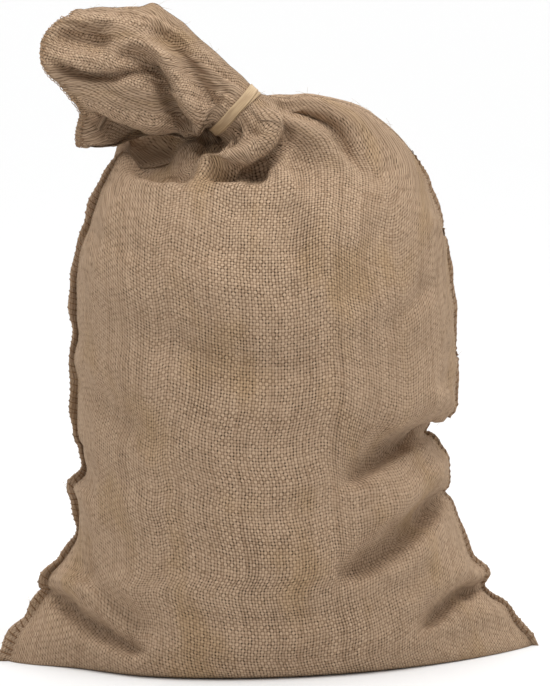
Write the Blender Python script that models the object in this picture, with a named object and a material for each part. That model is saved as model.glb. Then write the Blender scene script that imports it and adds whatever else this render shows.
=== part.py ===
# Filled burlap sack standing upright: one length of plain jute cloth folded at
# the bottom, sewn up both sides with the seam allowance outside, its neck
# gathered and held by a flat elastic band, the mouth flopping over to one side.
#
# Frame: metres, +Z up, the front faces -Y, +X to the right of the front.
# The origin is at the middle of the base, on the surface it rests on.
# All tables are in millimetres.
import bpy
import math
import numpy as np

MM = 0.001
SHIFT = (-4.0, 1.5, 0.0)    # mm from the tables' zero to the middle of the base

# ---------------------------------------------------------------- sizes (mm)
COLUMNS = 56            # points round the cloth (even)
ROW_STEP = 17.0         # spacing of the rows up the cloth
NECK_STEP = 8.0         # spacing near the neck and in the mouth
FLANGE_WIDTH = 9.0      # seam allowance standing out at both sides
FLANGE_HALF = 1.2       # half its thickness: two layers of cloth
CLOTH = 2.6             # thickness of the cloth at the mouth, hem included
NECK_R = 27.0           # radius of the gathered neck under the band
BAND_GAP = 0.4          # clearance between cloth and band
BAND_WIDTH = 9.0
BAND_THICK = 1.5
SECOND_TURN = 2.4       # how far the second turn shows past the first

# ------------------------------------------------------- sections of the sack
# One row per section from the floor up to the neck. xl zl / xr zr: left and
# right seam; yl yr: depth of the seams; yf zf / yb zb: middle of the front and
# of the back; end: 0.5 round ends, 1 sharp ends.
SECTION_COLUMNS = ("xl", "zl", "xr", "zr", "yf", "zf", "yb", "zb", "yl", "yr", "end")
SECTIONS = (
    (-240,   0,  248,   0, -113,   0,  113,   0, -38,  36, 0.84),
    (-238,   5,  245,   6, -119,   4,  119,   4, -37,  35, 0.83),
    (-232,  20,  232,  20, -126,  18,  126,  18, -34,  32, 0.80),
    (-219,  40,  221,  38, -130,  38,  129,  38, -30,  28, 0.76),
    (-208,  60,  205,  52, -132,  60,  130,  60, -26,  25, 0.70),
    (-204,  78,  194,  72, -133,  80,  131,  80, -24,  22, 0.64),
    (-184,  94,  187,  92, -134,  98,  131,  98, -22,  21, 0.58),
    (-176, 114,  179, 116, -134, 118,  131, 118, -20,  21, 0.53),
    (-175, 136,  171, 136, -134, 138,  130, 138, -19,  21, 0.50),
    (-177, 156,  167, 156, -133, 158,  130, 158, -18,  21, 0.50),
    (-170, 175,  162, 175, -133, 178,  130, 178, -18,  21, 0.50),
    (-173, 194,  157, 194, -133, 198,  130, 198, -17,  21, 0.50),
    (-176, 214,  158, 212, -133, 218,  130, 218, -17,  21, 0.50),
    (-178, 232,  166, 230, -133, 238,  130, 238, -16,  20, 0.50),
    (-180, 250,  173, 248, -132, 256,  129, 256, -16,  20, 0.50),
    (-179, 272,  174, 270, -131, 276,  128, 276, -15,  19, 0.50),
    (-175, 298,  170, 296, -130, 300,  127, 300, -15,  19, 0.50),
    (-176, 325,  170, 324, -128, 326,  125, 328, -14,  18, 0.50),
    (-177, 352,  167, 352, -123, 352,  122, 356, -14,  17, 0.50),
    (-175, 378,  163, 378, -115, 378,  117, 384, -15,  16, 0.50),
    (-168, 404,  158, 404, -105, 402,  110, 410, -16,  15, 0.50),
    (-156, 428,  151, 428,  -91, 424,  101, 436, -17,  14, 0.50),
    (-143, 450,  143, 449,  -72, 442,   90, 460, -18,  12, 0.50),
    (-128, 466,  129, 472,  -56, 452,   76, 483, -19,  10, 0.50),
    (-110, 473,  109, 492,  -48, 459,   62, 494, -20,   6, 0.50),
    ( -90, 474,   85, 508,  -45, 466,   49, 500, -20,   1, 0.50),
    ( -72, 475,   56, 515,  -44, 474,   36, 502, -19,  -4, 0.50),
    ( -58, 475,   28, 518,  -44, 483,   26, 501, -17,  -9, 0.50),
    ( -47, 476,    6, 519,  -44, 491,   18, 499, -16, -13, 0.50),
)

# --------------------------------------------- sections of the gathered mouth
# From the band outwards. Columns as above, with xf xb for the middle of the
# front and of the back, because the mouth leans over to the left.
MOUTH_COLUMNS = ("xl", "yl", "zl", "xr", "yr", "zr", "xf", "yf", "zf", "xb", "yb", "zb")
NECK_CENTRE = (-32.0, -15.0, 508.5)
NECK_ACROSS = (0.680, 0.0, 0.733)       # from the lower left to the upper right
NECK_AXIS = (-0.733, 0.0, 0.680)        # out of the sack
MOUTH = (
    ( -73, -19, 486,  -39, -15, 552,  -57, -46, 517,  -55,  17, 518),
    ( -97, -20, 484,  -67, -13, 577,  -88, -50, 527,  -85,  22, 530),
    (-124, -19, 480,  -98,  -8, 600, -122, -51, 538, -119,  28, 543),
    (-150, -16, 479, -134,  -4, 601, -158, -45, 548, -154,  30, 552),
    (-179, -12, 481, -182,  -2, 601, -206, -32, 558, -192,  24, 556),
)
# Edge of the mouth: how far left it reaches at each height, front and back.
RIM_COLUMNS = ("z", "x_front", "x_back")
RIM = (
    (478, -179, -174),
    (489, -178, -172),
    (498, -175, -170),
    (507, -172, -170),
    (516, -177, -172),
    (526, -185, -177),
    (535, -193, -182),
    (544, -203, -188),
    (553, -207, -192),
    (562, -208, -194),
    (572, -207, -193),
    (581, -202, -190),
    (590, -194, -186),
    (600, -182, -178),
)

# ------------------------------------------------------- pleats at the neck
# One row per pleat: place round the neck in degrees (0 upper right, 90 front,
# 180 lower left, 270 back), depth of the groove, its half width in degrees.
PLEAT_COLUMNS = ("angle", "depth", "half_width")
PLEATS = (
    ( 12, 2.6,  6), ( 38, 3.4,  7), ( 67, 2.4,  5), ( 88, 3.8,  6),
    (118, 2.6,  7), (146, 3.6,  7), (171, 3.0,  6), (198, 2.6,  7),
    (224, 3.6,  7), (251, 2.8,  6), (279, 3.4,  7), (303, 2.4,  6),
    (331, 3.2,  7),
)

# ------------------------------------------------------------ folds and creases
# One row per fold: side it lies on (-1 front, 1 back), points x z along it,
# depth (positive sinks in, negative stands out), half width on the side to the
# left of its direction and on the side to the right.
FOLD_COLUMNS = ("side", "points", "depth", "left_width", "right_width")
FOLDS = (
    # lower left corner, running down into the base
    (-1, ((-181, 100), (-154, 74), (-130, 56), (-103, 40)), 6, 16, 12),
    (-1, ((-208, 64), (-187, 54), (-164, 41), (-134, 27), (-112, 22)), 8, 12, 10),
    # right side, running down and inwards from the seam
    (-1, ((168, 226), (149, 220), (121, 206), (105, 199), (85, 185), (62, 174)), 12, 9, 20),
    (-1, ((176, 158), (157, 145), (131, 128), (106, 110), (81, 97), (62, 90)), 9, 11, 20),
    (-1, ((206, 64), (188, 62), (174, 60), (161, 49), (139, 35)), 8, 9, 14),
    # bulges between them
    (-1, ((168, 256), (140, 238), (104, 224)), -5, 20, 20),
    (-1, ((160, 182), (130, 164), (96, 146)), -4, 18, 18),
    # left side, soft
    (-1, ((-186, 268), (-158, 252), (-116, 216)), 4, 22, 18),
    (-1, ((171, 293), (164, 271), (156, 247)), 2.5, 10, 14),
    (-1, ((94, 446), (107, 454), (120, 462)), 1.5, 4, 4),
    # front of the shoulder, under the band
    (-1, ((-24, 451), (-14, 451), (-4, 452)), 12, 9, 7),
    (-1, ((-6, 510), (1, 492), (-3, 478), (-20, 469), (-49, 461)), -5, 9, 10),
    (-1, ((0, 512), (8, 496), (12, 482)), 6, 7, 7),
    (-1, ((10, 484), (-2, 466), (8, 452), (28, 430)), -3.5, 10, 10),
    (-1, ((4, 520), (22, 508), (42, 500), (58, 490), (72, 468)), 7, 10, 9),
    (-1, ((-64, 470), (-72, 462), (-84, 455), (-99, 453)), 5, 8, 9),
    # back of the shoulder
    (1, ((-4, 500), (-30, 470), (-52, 430)), 6, 12, 12),
    (1, ((14, 508), (16, 470), (6, 420)), 6, 12, 12),
    (1, ((36, 508), (66, 474), (84, 430)), 7, 13, 12),
    (1, ((-84, 474), (-104, 452), (-126, 420)), 5, 12, 12),
    # back, creases running in from the seams
    (1, ((170, 216), (130, 204), (84, 176)), 8, 16, 11),
    (1, ((-178, 190), (-136, 176), (-92, 150)), 7, 11, 16),
    (1, ((186, 84), (150, 70), (112, 44)), 7, 13, 10),
    (1, ((-200, 66), (-160, 56), (-122, 34)), 7, 10, 13),
    # mouth: groove beside the upper roll, deep groove under the middle roll,
    # edge of the fold over the lower panel, lower panel over the corner flap
    (-1, ((-44, 506), (-58, 528), (-76, 555), (-94, 573), (-117, 583)), 5, 8, 8),
    (-1, ((-180, 583), (-160, 578), (-144, 575)), 5, 12, 12),
    (-1, ((-58, 499), (-72, 512), (-85, 536), (-94, 556), (-108, 570), (-138, 570)), -6, 9, 8),
    (-1, ((-54, 488), (-74, 499), (-89, 521), (-97, 541), (-112, 553), (-130, 556)), 10, 8, 6),
    (-1, ((-190, 549), (-176, 543), (-163, 539), (-144, 539), (-112, 544)), 6, 9, 5),
    (-1, ((-165, 504), (-147, 494), (-125, 484), (-106, 475), (-84, 480)), 8, 9, 6),
    # mouth, back
    (1, ((-50, 520), (-90, 550), (-140, 566), (-188, 568)), 8, 9, 9),
    (1, ((-50, 500), (-96, 512), (-140, 518), (-180, 522)), 8, 9, 9),
)


# ------------------------------------------------------------------ functions
def rows_to_curve(rows, step_of):
    """Rows of numbers -> many rows on a smooth curve through them."""
    rows = np.array(rows, float)
    cols = rows.shape[1] - 1                    # the first column is the length
    t = rows[:, 0]
    v = rows[:, 1:]
    h = np.diff(t)
    slope = np.diff(v, axis=0) / h[:, None]
    m = np.zeros_like(v)
    m[0], m[-1] = slope[0], slope[-1]
    for i in range(1, len(t) - 1):
        w = h[i] / (h[i - 1] + h[i])
        m[i] = slope[i - 1] * w + slope[i] * (1 - w)
    out_t, out = [t[0]], [v[0]]
    for i in range(len(h)):
        n = max(1, int(round(h[i] / step_of(0.5 * (t[i] + t[i + 1])))))
        for k in range(1, n + 1):
            u = k / n
            a = (2 * u ** 3 - 3 * u ** 2 + 1) * v[i] + (-2 * u ** 3 + 3 * u ** 2) * v[i + 1]
            b = (u ** 3 - 2 * u ** 2 + u) * m[i] + (u ** 3 - u ** 2) * m[i + 1]
            out_t.append(t[i] + u * h[i])
            out.append(a + h[i] * b)
    return np.array(out_t), np.array(out).reshape(-1, cols)


def fourier(left, right, front, back, c, s):
    """Value round a ring from its value at the four sides."""
    b = (right - left) / 2
    a = (right + left + front + back) / 4
    d = (right + left - front - back) / 4
    e = (front - back) / 2
    return a + b * c + d * (2 * c * c - 1) + e * s


def ring_angles(n):
    """Angles of n columns evenly spaced round the cloth of the filled body."""
    f = np.linspace(0, 2 * math.pi, 4001)
    x, y = 175 * np.cos(f), 131 * np.sin(f)
    length = np.concatenate([[0], np.cumsum(np.hypot(np.diff(x), np.diff(y)))])
    want = np.arange(n) / n * length[-1]
    return math.pi - np.interp(want, length, f)      # from the left seam by the front


def body_ring(row, ang, depth=1.0):
    """Points of one section of the body; depth shrinks it towards its middle line."""
    xl, zl, xr, zr, yf, zf, yb, zb, yl, yr, end = row
    c, s = np.cos(ang), np.sin(ang)
    x = (xl + xr) / 2 + (xr - xl) / 2 * c
    z = fourier(zl, zr, zf, zb, c, s)
    bulge = np.maximum(0.0, 1 - c * c) ** end
    mid = (yl + yr) / 2 * c * c + (yr - yl) / 2 * c
    side = np.where(s >= 0, yf, yb)
    y = mid + (side - np.sign(side) * 0) * bulge
    y = y + np.where(s >= 0, -FLANGE_HALF, FLANGE_HALF) * (np.abs(s) > 1e-6) * (1 - bulge)
    y = mid + (y - mid) * depth
    return np.stack([x, y, z], 1)


def neck_ring(along, radius, ang):
    """A round section of the neck, square to its axis."""
    c, s = np.cos(ang), np.sin(ang)
    centre = np.array(NECK_CENTRE) + along * np.array(NECK_AXIS)
    return centre + radius * (c[:, None] * np.array(NECK_ACROSS)
                              + s[:, None] * np.array((0.0, -1.0, 0.0)))


def mouth_ring(row, ang):
    xl, yl, zl, xr, yr, zr, xf, yf, zf, xb, yb, zb = row
    c, s = np.cos(ang), np.sin(ang)
    return np.stack([fourier(xl, xr, xf, xb, c, s), fourier(yl, yr, yf, yb, c, s),
                     fourier(zl, zr, zf, zb, c, s)], 1)


def rim_ring(row, ang):
    ring = mouth_ring(row, ang)
    rim = np.array(RIM, float)
    s = np.sin(ang)
    front = np.interp(ring[:, 2], rim[:, 0], rim[:, 1])
    back = np.interp(ring[:, 2], rim[:, 0], rim[:, 2])
    w = np.clip(0.5 + 0.9 * s, 0, 1)
    ring[:, 0] = back + (front - back) * w
    return ring


def section_lengths(rows, front, back):
    """Cloth length up to each row, from how far its four sides move."""
    t = [0.0]
    for a, b in zip(rows[:-1], rows[1:]):
        d = [np.linalg.norm(np.subtract(p(a), p(b))) for p in (front, back)]
        t.append(t[-1] + sum(d) / len(d))
    return t


def build_rings(columns, step, neck_step):
    """All rings from the fold in the base to the edge of the mouth."""
    ang = ring_angles(columns)
    rings, where = [], []
    length = 0.0
    floor = SECTIONS[0]
    half = 113.0
    ks = [0.0]
    n = max(3, int(round(half / (step * 2.2))))
    for k in range(1, n):
        ks.append(k / n)
    for k in ks:
        rings.append(body_ring(floor, ang, k))
        where.append(k * half)
    length = half
    # body
    t = section_lengths(SECTIONS, lambda r: (r[4], r[5]), lambda r: (r[0], r[1]))
    rows = [(ti,) + tuple(r) for ti, r in zip(t, SECTIONS)]
    tt, vals = rows_to_curve(rows, lambda x: step if x < 395 else min(step, neck_step * 1.7))
    for ti, r in zip(tt, vals):
        rings.append(body_ring(r, ang))
        where.append(length + ti)
    length += tt[-1]
    # neck: rounds the section off over the last stretch, then runs under the band
    n_neck = max(2, int(round(10 / neck_step)))
    for along, radius in ((-15.0, NECK_R + 1.2), (-8.0, NECK_R)):
        rings.append(neck_ring(along, radius, ang))
        where.append(length + 12 + along + 15)
    for k in range(1, n_neck + 1):
        rings.append(neck_ring(-8.0 + 16.0 * k / n_neck, NECK_R, ang))
        where.append(length + 19 + 16.0 * k / n_neck)
    length += 35
    rings.append(neck_ring(14.0, NECK_R + 1.0, ang))
    length += 6
    where.append(length)
    band_index = len(rings) - 2 - n_neck // 2
    # mouth: sections joined column by column with smooth curves
    last, prev = rings[-1], rings[-2]
    keys = [prev, last] + [mouth_ring(r, ang) for r in MOUTH[:-1]] + [rim_ring(MOUTH[-1], ang)]
    keys = np.array(keys)
    gap = np.linalg.norm(np.diff(keys, axis=0), axis=2).mean(1)
    for i in range(1, len(keys) - 1):
        p0, p1, p2 = keys[i - 1], keys[i], keys[i + 1]
        p3 = keys[i + 2] if i + 2 < len(keys) else 2 * p2 - p1
        m1 = (p2 - p0) / (gap[i - 1] + gap[i]) * gap[i]
        g3 = gap[i + 1] if i + 1 < len(gap) else gap[i]
        m2 = (p3 - p1) / (gap[i] + g3) * gap[i]
        n = max(1, int(round(gap[i] / neck_step)))
        for k in range(1, n + 1):
            u = k / n
            rings.append((2 * u ** 3 - 3 * u ** 2 + 1) * p1 + (u ** 3 - 2 * u ** 2 + u) * m1
                         + (-2 * u ** 3 + 3 * u ** 2) * p2 + (u ** 3 - u ** 2) * m2)
            where.append(length + u * gap[i])
        length += gap[i]
    return np.array(rings), np.array(where), ang, len(ks), band_index


def grid_normals(g):
    """Outward normals of a grid of rings."""
    up = np.empty_like(g)
    up[1:-1] = g[2:] - g[:-2]
    up[0], up[-1] = g[1] - g[0], g[-1] - g[-2]
    along = np.roll(g, -1, 1) - np.roll(g, 1, 1)
    n = np.cross(along, up)
    n /= np.maximum(np.linalg.norm(n, axis=2, keepdims=True), 1e-9)
    return n


def polyline(points, n=24):
    """A smooth curve through a few points."""
    p = np.array(points, float)
    if len(p) == 2:
        u = np.linspace(0, 1, n)[:, None]
        return p[0] * (1 - u) + p[1] * u
    e = np.vstack([2 * p[0] - p[1], p, 2 * p[-1] - p[-2]])
    out = []
    per = max(3, n // (len(p) - 1))
    for i in range(len(p) - 1):
        a, b, c, d = e[i], e[i + 1], e[i + 2], e[i + 3]
        for k in range(per):
            u = k / per
            out.append(0.5 * (2 * b + (c - a) * u + (2 * a - 5 * b + 4 * c - d) * u * u
                              + (3 * b - a - 3 * c + d) * u ** 3))
    out.append(p[-1])
    return np.array(out)


def fold_relief(points, normals, folds):
    """How far each point sinks in at the folds of its side."""
    total = np.zeros(points.shape[:-1])
    xz = points[..., (0, 2)]
    ny = normals[..., 1]
    for side, pts, depth, wl, wr in folds:
        line = polyline(pts)
        facing = np.clip((side * ny + 0.35) / 0.5, 0, 1)
        reach = 3 * max(wl, wr)
        box = ((xz[..., 0] > line[:, 0].min() - reach) & (xz[..., 0] < line[:, 0].max() + reach)
               & (xz[..., 1] > line[:, 1].min() - reach) & (xz[..., 1] < line[:, 1].max() + reach)
               & (facing > 0))
        q = xz[box]
        if not len(q):
            continue
        best = np.full(len(q), 1e9)
        sign = np.ones(len(q))
        place = np.zeros(len(q))
        count = len(line) - 1
        for i in range(count):
            a, b = line[i], line[i + 1]
            d = b - a
            u = np.clip(((q - a) @ d) / (d @ d), 0, 1)
            r = q - (a + u[:, None] * d)
            dist = np.hypot(r[:, 0], r[:, 1])
            near = dist < best
            best[near] = dist[near]
            sign[near] = np.sign(d[0] * r[:, 1] - d[1] * r[:, 0])[near]
            place[near] = ((i + u) / count)[near]
        width = np.where(sign > 0, wl, wr)
        taper = np.clip(np.minimum(place, 1 - place) / 0.22, 0, 1)
        taper = taper * taper * (3 - 2 * taper) * 0.85 + 0.15 * (taper > 0)
        total[box] += depth * np.exp(-(best / width) ** 2) * taper * facing[box]
    return total


def pleat_relief(rings, where, ang, band_at):
    """Grooves that run through the neck and fade into the body and the mouth."""
    deg = np.degrees(ang) % 360
    total = np.zeros(len(deg))
    for angle, depth, half in PLEATS:
        d = (deg - angle + 180) % 360 - 180
        total += depth * np.exp(-(d / half) ** 2)
    away = where - band_at
    fade = np.where(away < 0, np.exp(-(away / 34.0) ** 2), np.exp(-(away / 40.0) ** 2))
    grow = np.where(np.abs(away) < 10, 0.45, np.where(np.abs(away) < 18, 0.8, 1.25))
    return (fade * grow)[:, None] * total[None, :]


def sack_grid(columns, step, neck_step):
    rings, where, ang, base_rows, band_index = build_rings(columns, step, neck_step)
    band_at = where[band_index]
    normals = grid_normals(rings)
    depth = fold_relief(rings, normals, FOLDS)
    depth += pleat_relief(rings, where, ang, band_at)
    # nothing sinks in where the cloth lies on the floor or passes under the band
    height = np.clip((rings[..., 2] - 3) / 22, 0, 1)
    clear = np.clip((np.abs(where - band_at) - 9) / 10, 0, 1)[:, None]
    pleats_only = pleat_relief(rings, where, ang, band_at)
    depth = pleats_only + (depth - pleats_only) * clear
    depth *= height
    out = rings - normals * depth[..., None]
    out[:base_rows] = rings[:base_rows]
    out[..., 2] = np.maximum(out[..., 2], 0.0)
    return out, where, ang, base_rows, band_index


def add_flanges(grid, where, base_rows, band_at):
    """Each seam column becomes four: the seam allowance stands out there."""
    rows, n, _ = grid.shape
    out = []
    for r in range(rows):
        ring = []
        for col in range(n):
            if col not in (0, n // 2):
                ring.append(grid[r, col])
                continue
            e = grid[r, col]
            lo = grid[max(r - 1, 0), col] if r > base_rows else grid[base_rows, col]
            hi = grid[min(r + 1, rows - 1), col]
            t = hi - lo
            t = t / max(np.linalg.norm(t), 1e-9)
            w = np.array((0.0, 1.0, 0.0))
            d = np.cross(t, w) if col == 0 else np.cross(w, t)
            sgn = -1.0 if col == 0 else 1.0
            if r <= base_rows:
                d = np.array((sgn, 0.0, 0.0))
            d = d / np.linalg.norm(d)
            if col == 0:
                d = -d if np.dot(d, (-1, 0, 0.6)) < 0 else d
            else:
                d = -d if np.dot(d, (1, 0, 0.6)) < 0 else d
            if r <= base_rows + 1:
                d = np.array((sgn, 0.0, 0.0))
            lift = min(1.0, max(0.0, (grid[r, col, 2] - 40) / 50.0))
            turn = math.radians(-14 if col == 0 else 62) * lift
            d = d * math.cos(turn) + w * math.sin(turn)
            away = band_at - where[r]
            size = np.clip((away - 84) / 34, 0, 1)
            size = size * size * (3 - 2 * size)
            wave = 0.85 + 0.15 * math.sin(where[r] / 17.0 + col)
            h = FLANGE_WIDTH * size * wave
            k = 1.0
            if r < base_rows:
                k = 0.0 if r == 0 else r / base_rows
            base_half = FLANGE_HALF * k
            tip_half = (0.45 + 0.6 * min(1.0, h / FLANGE_WIDTH)) * k
            lean = 1.2 * math.sin(where[r] / 23.0 + 1.3 * col) * size * min(1.0, max(0.0, grid[r, col, 2] / 60.0))
            tip = e + h * d + lean * w
            four = [e - base_half * w, tip - tip_half * w, tip + tip_half * w, e + base_half * w]
            ring.extend(four if col else four[::-1])
        out.append(ring)
    # columns now run: left seam (back base, back tip, front tip, front base), front, right seam, back
    return np.array(out)


def make_object(name, verts, faces, colour, roughness, smooth=True):
    mesh = bpy.data.meshes.new(name)
    mesh.from_pydata([tuple(v) for v in (np.asarray(verts) + SHIFT) * MM], [], faces)
    mesh.update()
    if smooth:
        mesh.shade_smooth()
    obj = bpy.data.objects.new(name, mesh)
    bpy.context.scene.collection.objects.link(obj)
    mat = bpy.data.materials.new(name)
    mat.use_nodes = True
    bsdf = mat.node_tree.nodes["Principled BSDF"]
    bsdf.inputs["Base Color"].default_value = (*colour, 1.0)
    bsdf.inputs["Roughness"].default_value = roughness
    bsdf.inputs["Metallic"].default_value = 0.0
    mesh.materials.append(mat)
    return obj


def make_sack():
    grid, where, ang, base_rows, band_index = sack_grid(COLUMNS, ROW_STEP, NECK_STEP)
    band_at = where[band_index]
    outer = add_flanges(grid, where, base_rows, band_at)
    rows, n, _ = outer.shape
    # the hollow of the mouth: thin at the edge, closing towards the throat
    first_in = int(np.searchsorted(where, band_at + 76))
    throat = np.array(NECK_CENTRE) + 34 * np.array(NECK_AXIS)
    inner = []
    for r in range(rows - 1, first_in - 1, -1):
        deep = (where[-1] - where[r]) / (where[-1] - where[first_in])
        pull = 0.07 + 0.36 * min(1.0, deep / 0.4) ** 0.8 + 0.10 * deep
        centre = outer[r].mean(0)
        inner.append(centre + (outer[r] - centre) * (1 - pull))
    end = inner[-1]
    for k in (0.4, 0.7):
        centre = end.mean(0) * (1 - k) + throat * k
        inner.append(centre + (end - end.mean(0)) * (1 - k) * 0.9)
    verts, faces = [], []
    index = np.zeros((rows + len(inner), n), int)
    # fold line: front and back columns share their points
    for j in range(n):
        mirror = (3 - j) % n
        if mirror < j:
            index[0, j] = index[0, mirror]
        else:
            index[0, j] = len(verts)
            verts.append(outer[0, j])
    for r in range(1, rows):
        for j in range(n):
            index[r, j] = len(verts)
            verts.append(outer[r, j])
    for k, ring in enumerate(inner):
        for j in range(n):
            index[rows + k, j] = len(verts)
            verts.append(ring[j])
    total = rows + len(inner)
    for r in range(total - 1):
        for j in range(n):
            j2 = (j + 1) % n
            quad = [index[r, j], index[r, j2], index[r + 1, j2], index[r + 1, j]]
            face = []
            for v in quad:
                if v not in face:
                    face.append(int(v))
            if len(face) >= 3:
                faces.append(face)
    verts.append(inner[-1].mean(0) * 0.6 + throat * 0.4)
    tip = len(verts) - 1
    for j in range(n):
        faces.append([int(index[total - 1, j]), int(index[total - 1, (j + 1) % n]), tip])
    obj = make_object("sack", verts, faces, (0.36, 0.24, 0.15), 0.95)
    return obj


def make_band():
    """Flat elastic round the neck: two turns, the second showing past the first."""
    n = 64
    inner = NECK_R + BAND_GAP
    verts, faces = [], []
    axis, across = np.array(NECK_AXIS), np.array(NECK_ACROSS)
    front = np.array((0.0, -1.0, 0.0))
    centre = np.array(NECK_CENTRE)
    half = BAND_WIDTH / 2
    for i in range(n):
        a = 2 * math.pi * i / n
        out = math.cos(a) * across + math.sin(a) * front
        slip = 0.7 + SECOND_TURN * max(0.0, math.cos(a - 0.3)) ** 3
        profile = ((-half - slip, 0.0), (-half - slip, 0.8), (-half, 0.8),
                   (-half, BAND_THICK), (half, BAND_THICK), (half, 0.0))
        for u, r in profile:
            verts.append(centre + axis * u + out * (inner + r))
    m = 6
    for i in range(n):
        i2 = (i + 1) % n
        for k in range(m):
            k2 = (k + 1) % m
            faces.append([i * m + k, i * m + k2, i2 * m + k2, i2 * m + k])
    obj = make_object("band", verts, faces, (0.50, 0.40, 0.27), 0.6)
    obj.data.set_sharp_from_angle(angle=math.radians(40))
    return obj


def face_outwards(obj):
    """Turns the faces round if the solid is inside out."""
    mesh = obj.data
    volume = 0.0
    mesh.calc_loop_triangles()
    for tri in mesh.loop_triangles:
        a, b, c = (mesh.vertices[i].co for i in tri.vertices)
        volume += a.dot(b.cross(c)) / 6
    if volume < 0:
        mesh.flip_normals()
    mesh.update()


for old in list(bpy.data.objects):
    bpy.data.objects.remove(old, do_unlink=True)

sack = make_sack()
band = make_band()
for piece in (sack, band):
    face_outwards(piece)
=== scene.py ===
# The looks of the filled burlap sack: its cloth, seams, mouth, band and loose
# fibres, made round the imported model. Tables are in millimetres.
import bpy
import math
import numpy as np
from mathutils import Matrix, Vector


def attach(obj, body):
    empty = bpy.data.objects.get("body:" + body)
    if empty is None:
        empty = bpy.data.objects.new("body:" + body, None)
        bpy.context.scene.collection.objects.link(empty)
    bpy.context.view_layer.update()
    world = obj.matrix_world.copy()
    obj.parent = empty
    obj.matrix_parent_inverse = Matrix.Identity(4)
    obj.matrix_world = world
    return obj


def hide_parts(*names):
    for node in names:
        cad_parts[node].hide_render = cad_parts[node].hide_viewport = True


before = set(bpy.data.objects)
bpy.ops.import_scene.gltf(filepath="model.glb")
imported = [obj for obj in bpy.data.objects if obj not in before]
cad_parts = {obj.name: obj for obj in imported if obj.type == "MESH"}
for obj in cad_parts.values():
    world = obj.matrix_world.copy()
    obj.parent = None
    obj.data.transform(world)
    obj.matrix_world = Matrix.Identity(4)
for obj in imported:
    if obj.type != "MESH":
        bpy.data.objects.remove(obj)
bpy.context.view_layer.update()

MM = 0.001
SHIFT = np.array((-4.0, 1.5, 0.0))
PITCH = 2.86            # thread pitch of the cloth

# ---------------------------------------------------------------- sizes (mm)
COLUMNS = 350
ROW_STEP = 2.65
NECK_STEP = 1.7
FLANGE_WIDTH = 9.0
FLANGE_HALF = 1.2
CLOTH = 2.2
NECK_R = 27.0
BAND_WIDTH = 9.0

# ------------------------------------------------------- sections of the sack
# One row per section from the floor up to the neck. xl zl / xr zr: left and
# right seam; yl yr: depth of the seams; yf zf / yb zb: middle of the front and
# of the back; end: 0.5 round ends, 1 sharp ends.
SECTION_COLUMNS = ("xl", "zl", "xr", "zr", "yf", "zf", "yb", "zb", "yl", "yr", "end")
SECTIONS = (
    (-240,   0,  248,   0, -113,   0,  113,   0, -38,  36, 0.84),
    (-238,   5,  245,   6, -119,   4,  119,   4, -37,  35, 0.83),
    (-232,  20,  232,  20, -126,  18,  126,  18, -34,  32, 0.80),
    (-219,  40,  221,  38, -130,  38,  129,  38, -30,  28, 0.76),
    (-208,  60,  205,  52, -132,  60,  130,  60, -26,  25, 0.70),
    (-204,  78,  194,  72, -133,  80,  131,  80, -24,  22, 0.64),
    (-184,  94,  187,  92, -134,  98,  131,  98, -22,  21, 0.58),
    (-176, 114,  179, 116, -134, 118,  131, 118, -20,  21, 0.53),
    (-175, 136,  171, 136, -134, 138,  130, 138, -19,  21, 0.50),
    (-177, 156,  167, 156, -133, 158,  130, 158, -18,  21, 0.50),
    (-170, 175,  162, 175, -133, 178,  130, 178, -18,  21, 0.50),
    (-173, 194,  157, 194, -133, 198,  130, 198, -17,  21, 0.50),
    (-176, 214,  158, 212, -133, 218,  130, 218, -17,  21, 0.50),
    (-178, 232,  166, 230, -133, 238,  130, 238, -16,  20, 0.50),
    (-180, 250,  173, 248, -132, 256,  129, 256, -16,  20, 0.50),
    (-179, 272,  174, 270, -131, 276,  128, 276, -15,  19, 0.50),
    (-175, 298,  170, 296, -130, 300,  127, 300, -15,  19, 0.50),
    (-176, 325,  170, 324, -128, 326,  125, 328, -14,  18, 0.50),
    (-177, 352,  167, 352, -123, 352,  122, 356, -14,  17, 0.50),
    (-175, 378,  163, 378, -115, 378,  117, 384, -15,  16, 0.50),
    (-168, 404,  158, 404, -105, 402,  110, 410, -16,  15, 0.50),
    (-156, 428,  151, 428,  -91, 424,  101, 436, -17,  14, 0.50),
    (-143, 450,  143, 449,  -72, 442,   90, 460, -18,  12, 0.50),
    (-128, 466,  129, 472,  -56, 452,   76, 483, -19,  10, 0.50),
    (-110, 473,  109, 492,  -48, 459,   62, 494, -20,   6, 0.50),
    ( -90, 474,   85, 508,  -45, 466,   49, 500, -20,   1, 0.50),
    ( -72, 475,   56, 515,  -44, 474,   36, 502, -19,  -4, 0.50),
    ( -58, 475,   28, 518,  -44, 483,   26, 501, -17,  -9, 0.50),
    ( -47, 476,    6, 519,  -44, 491,   18, 499, -16, -13, 0.50),
)

# --------------------------------------------- sections of the gathered mouth
# From the band outwards. Columns as above, with xf xb for the middle of the
# front and of the back, because the mouth leans over to the left.
MOUTH_COLUMNS = ("xl", "yl", "zl", "xr", "yr", "zr", "xf", "yf", "zf", "xb", "yb", "zb")
NECK_CENTRE = (-32.0, -15.0, 508.5)
NECK_ACROSS = (0.680, 0.0, 0.733)       # from the lower left to the upper right
NECK_AXIS = (-0.733, 0.0, 0.680)        # out of the sack
MOUTH = (
    ( -73, -19, 486,  -39, -15, 552,  -57, -46, 517,  -55,  17, 518),
    ( -97, -20, 484,  -67, -13, 577,  -88, -50, 527,  -85,  22, 530),
    (-124, -19, 480,  -98,  -8, 600, -122, -51, 538, -119,  28, 543),
    (-150, -16, 479, -134,  -4, 601, -158, -45, 548, -154,  30, 552),
    (-179, -12, 481, -182,  -2, 601, -206, -32, 558, -192,  24, 556),
)
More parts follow.
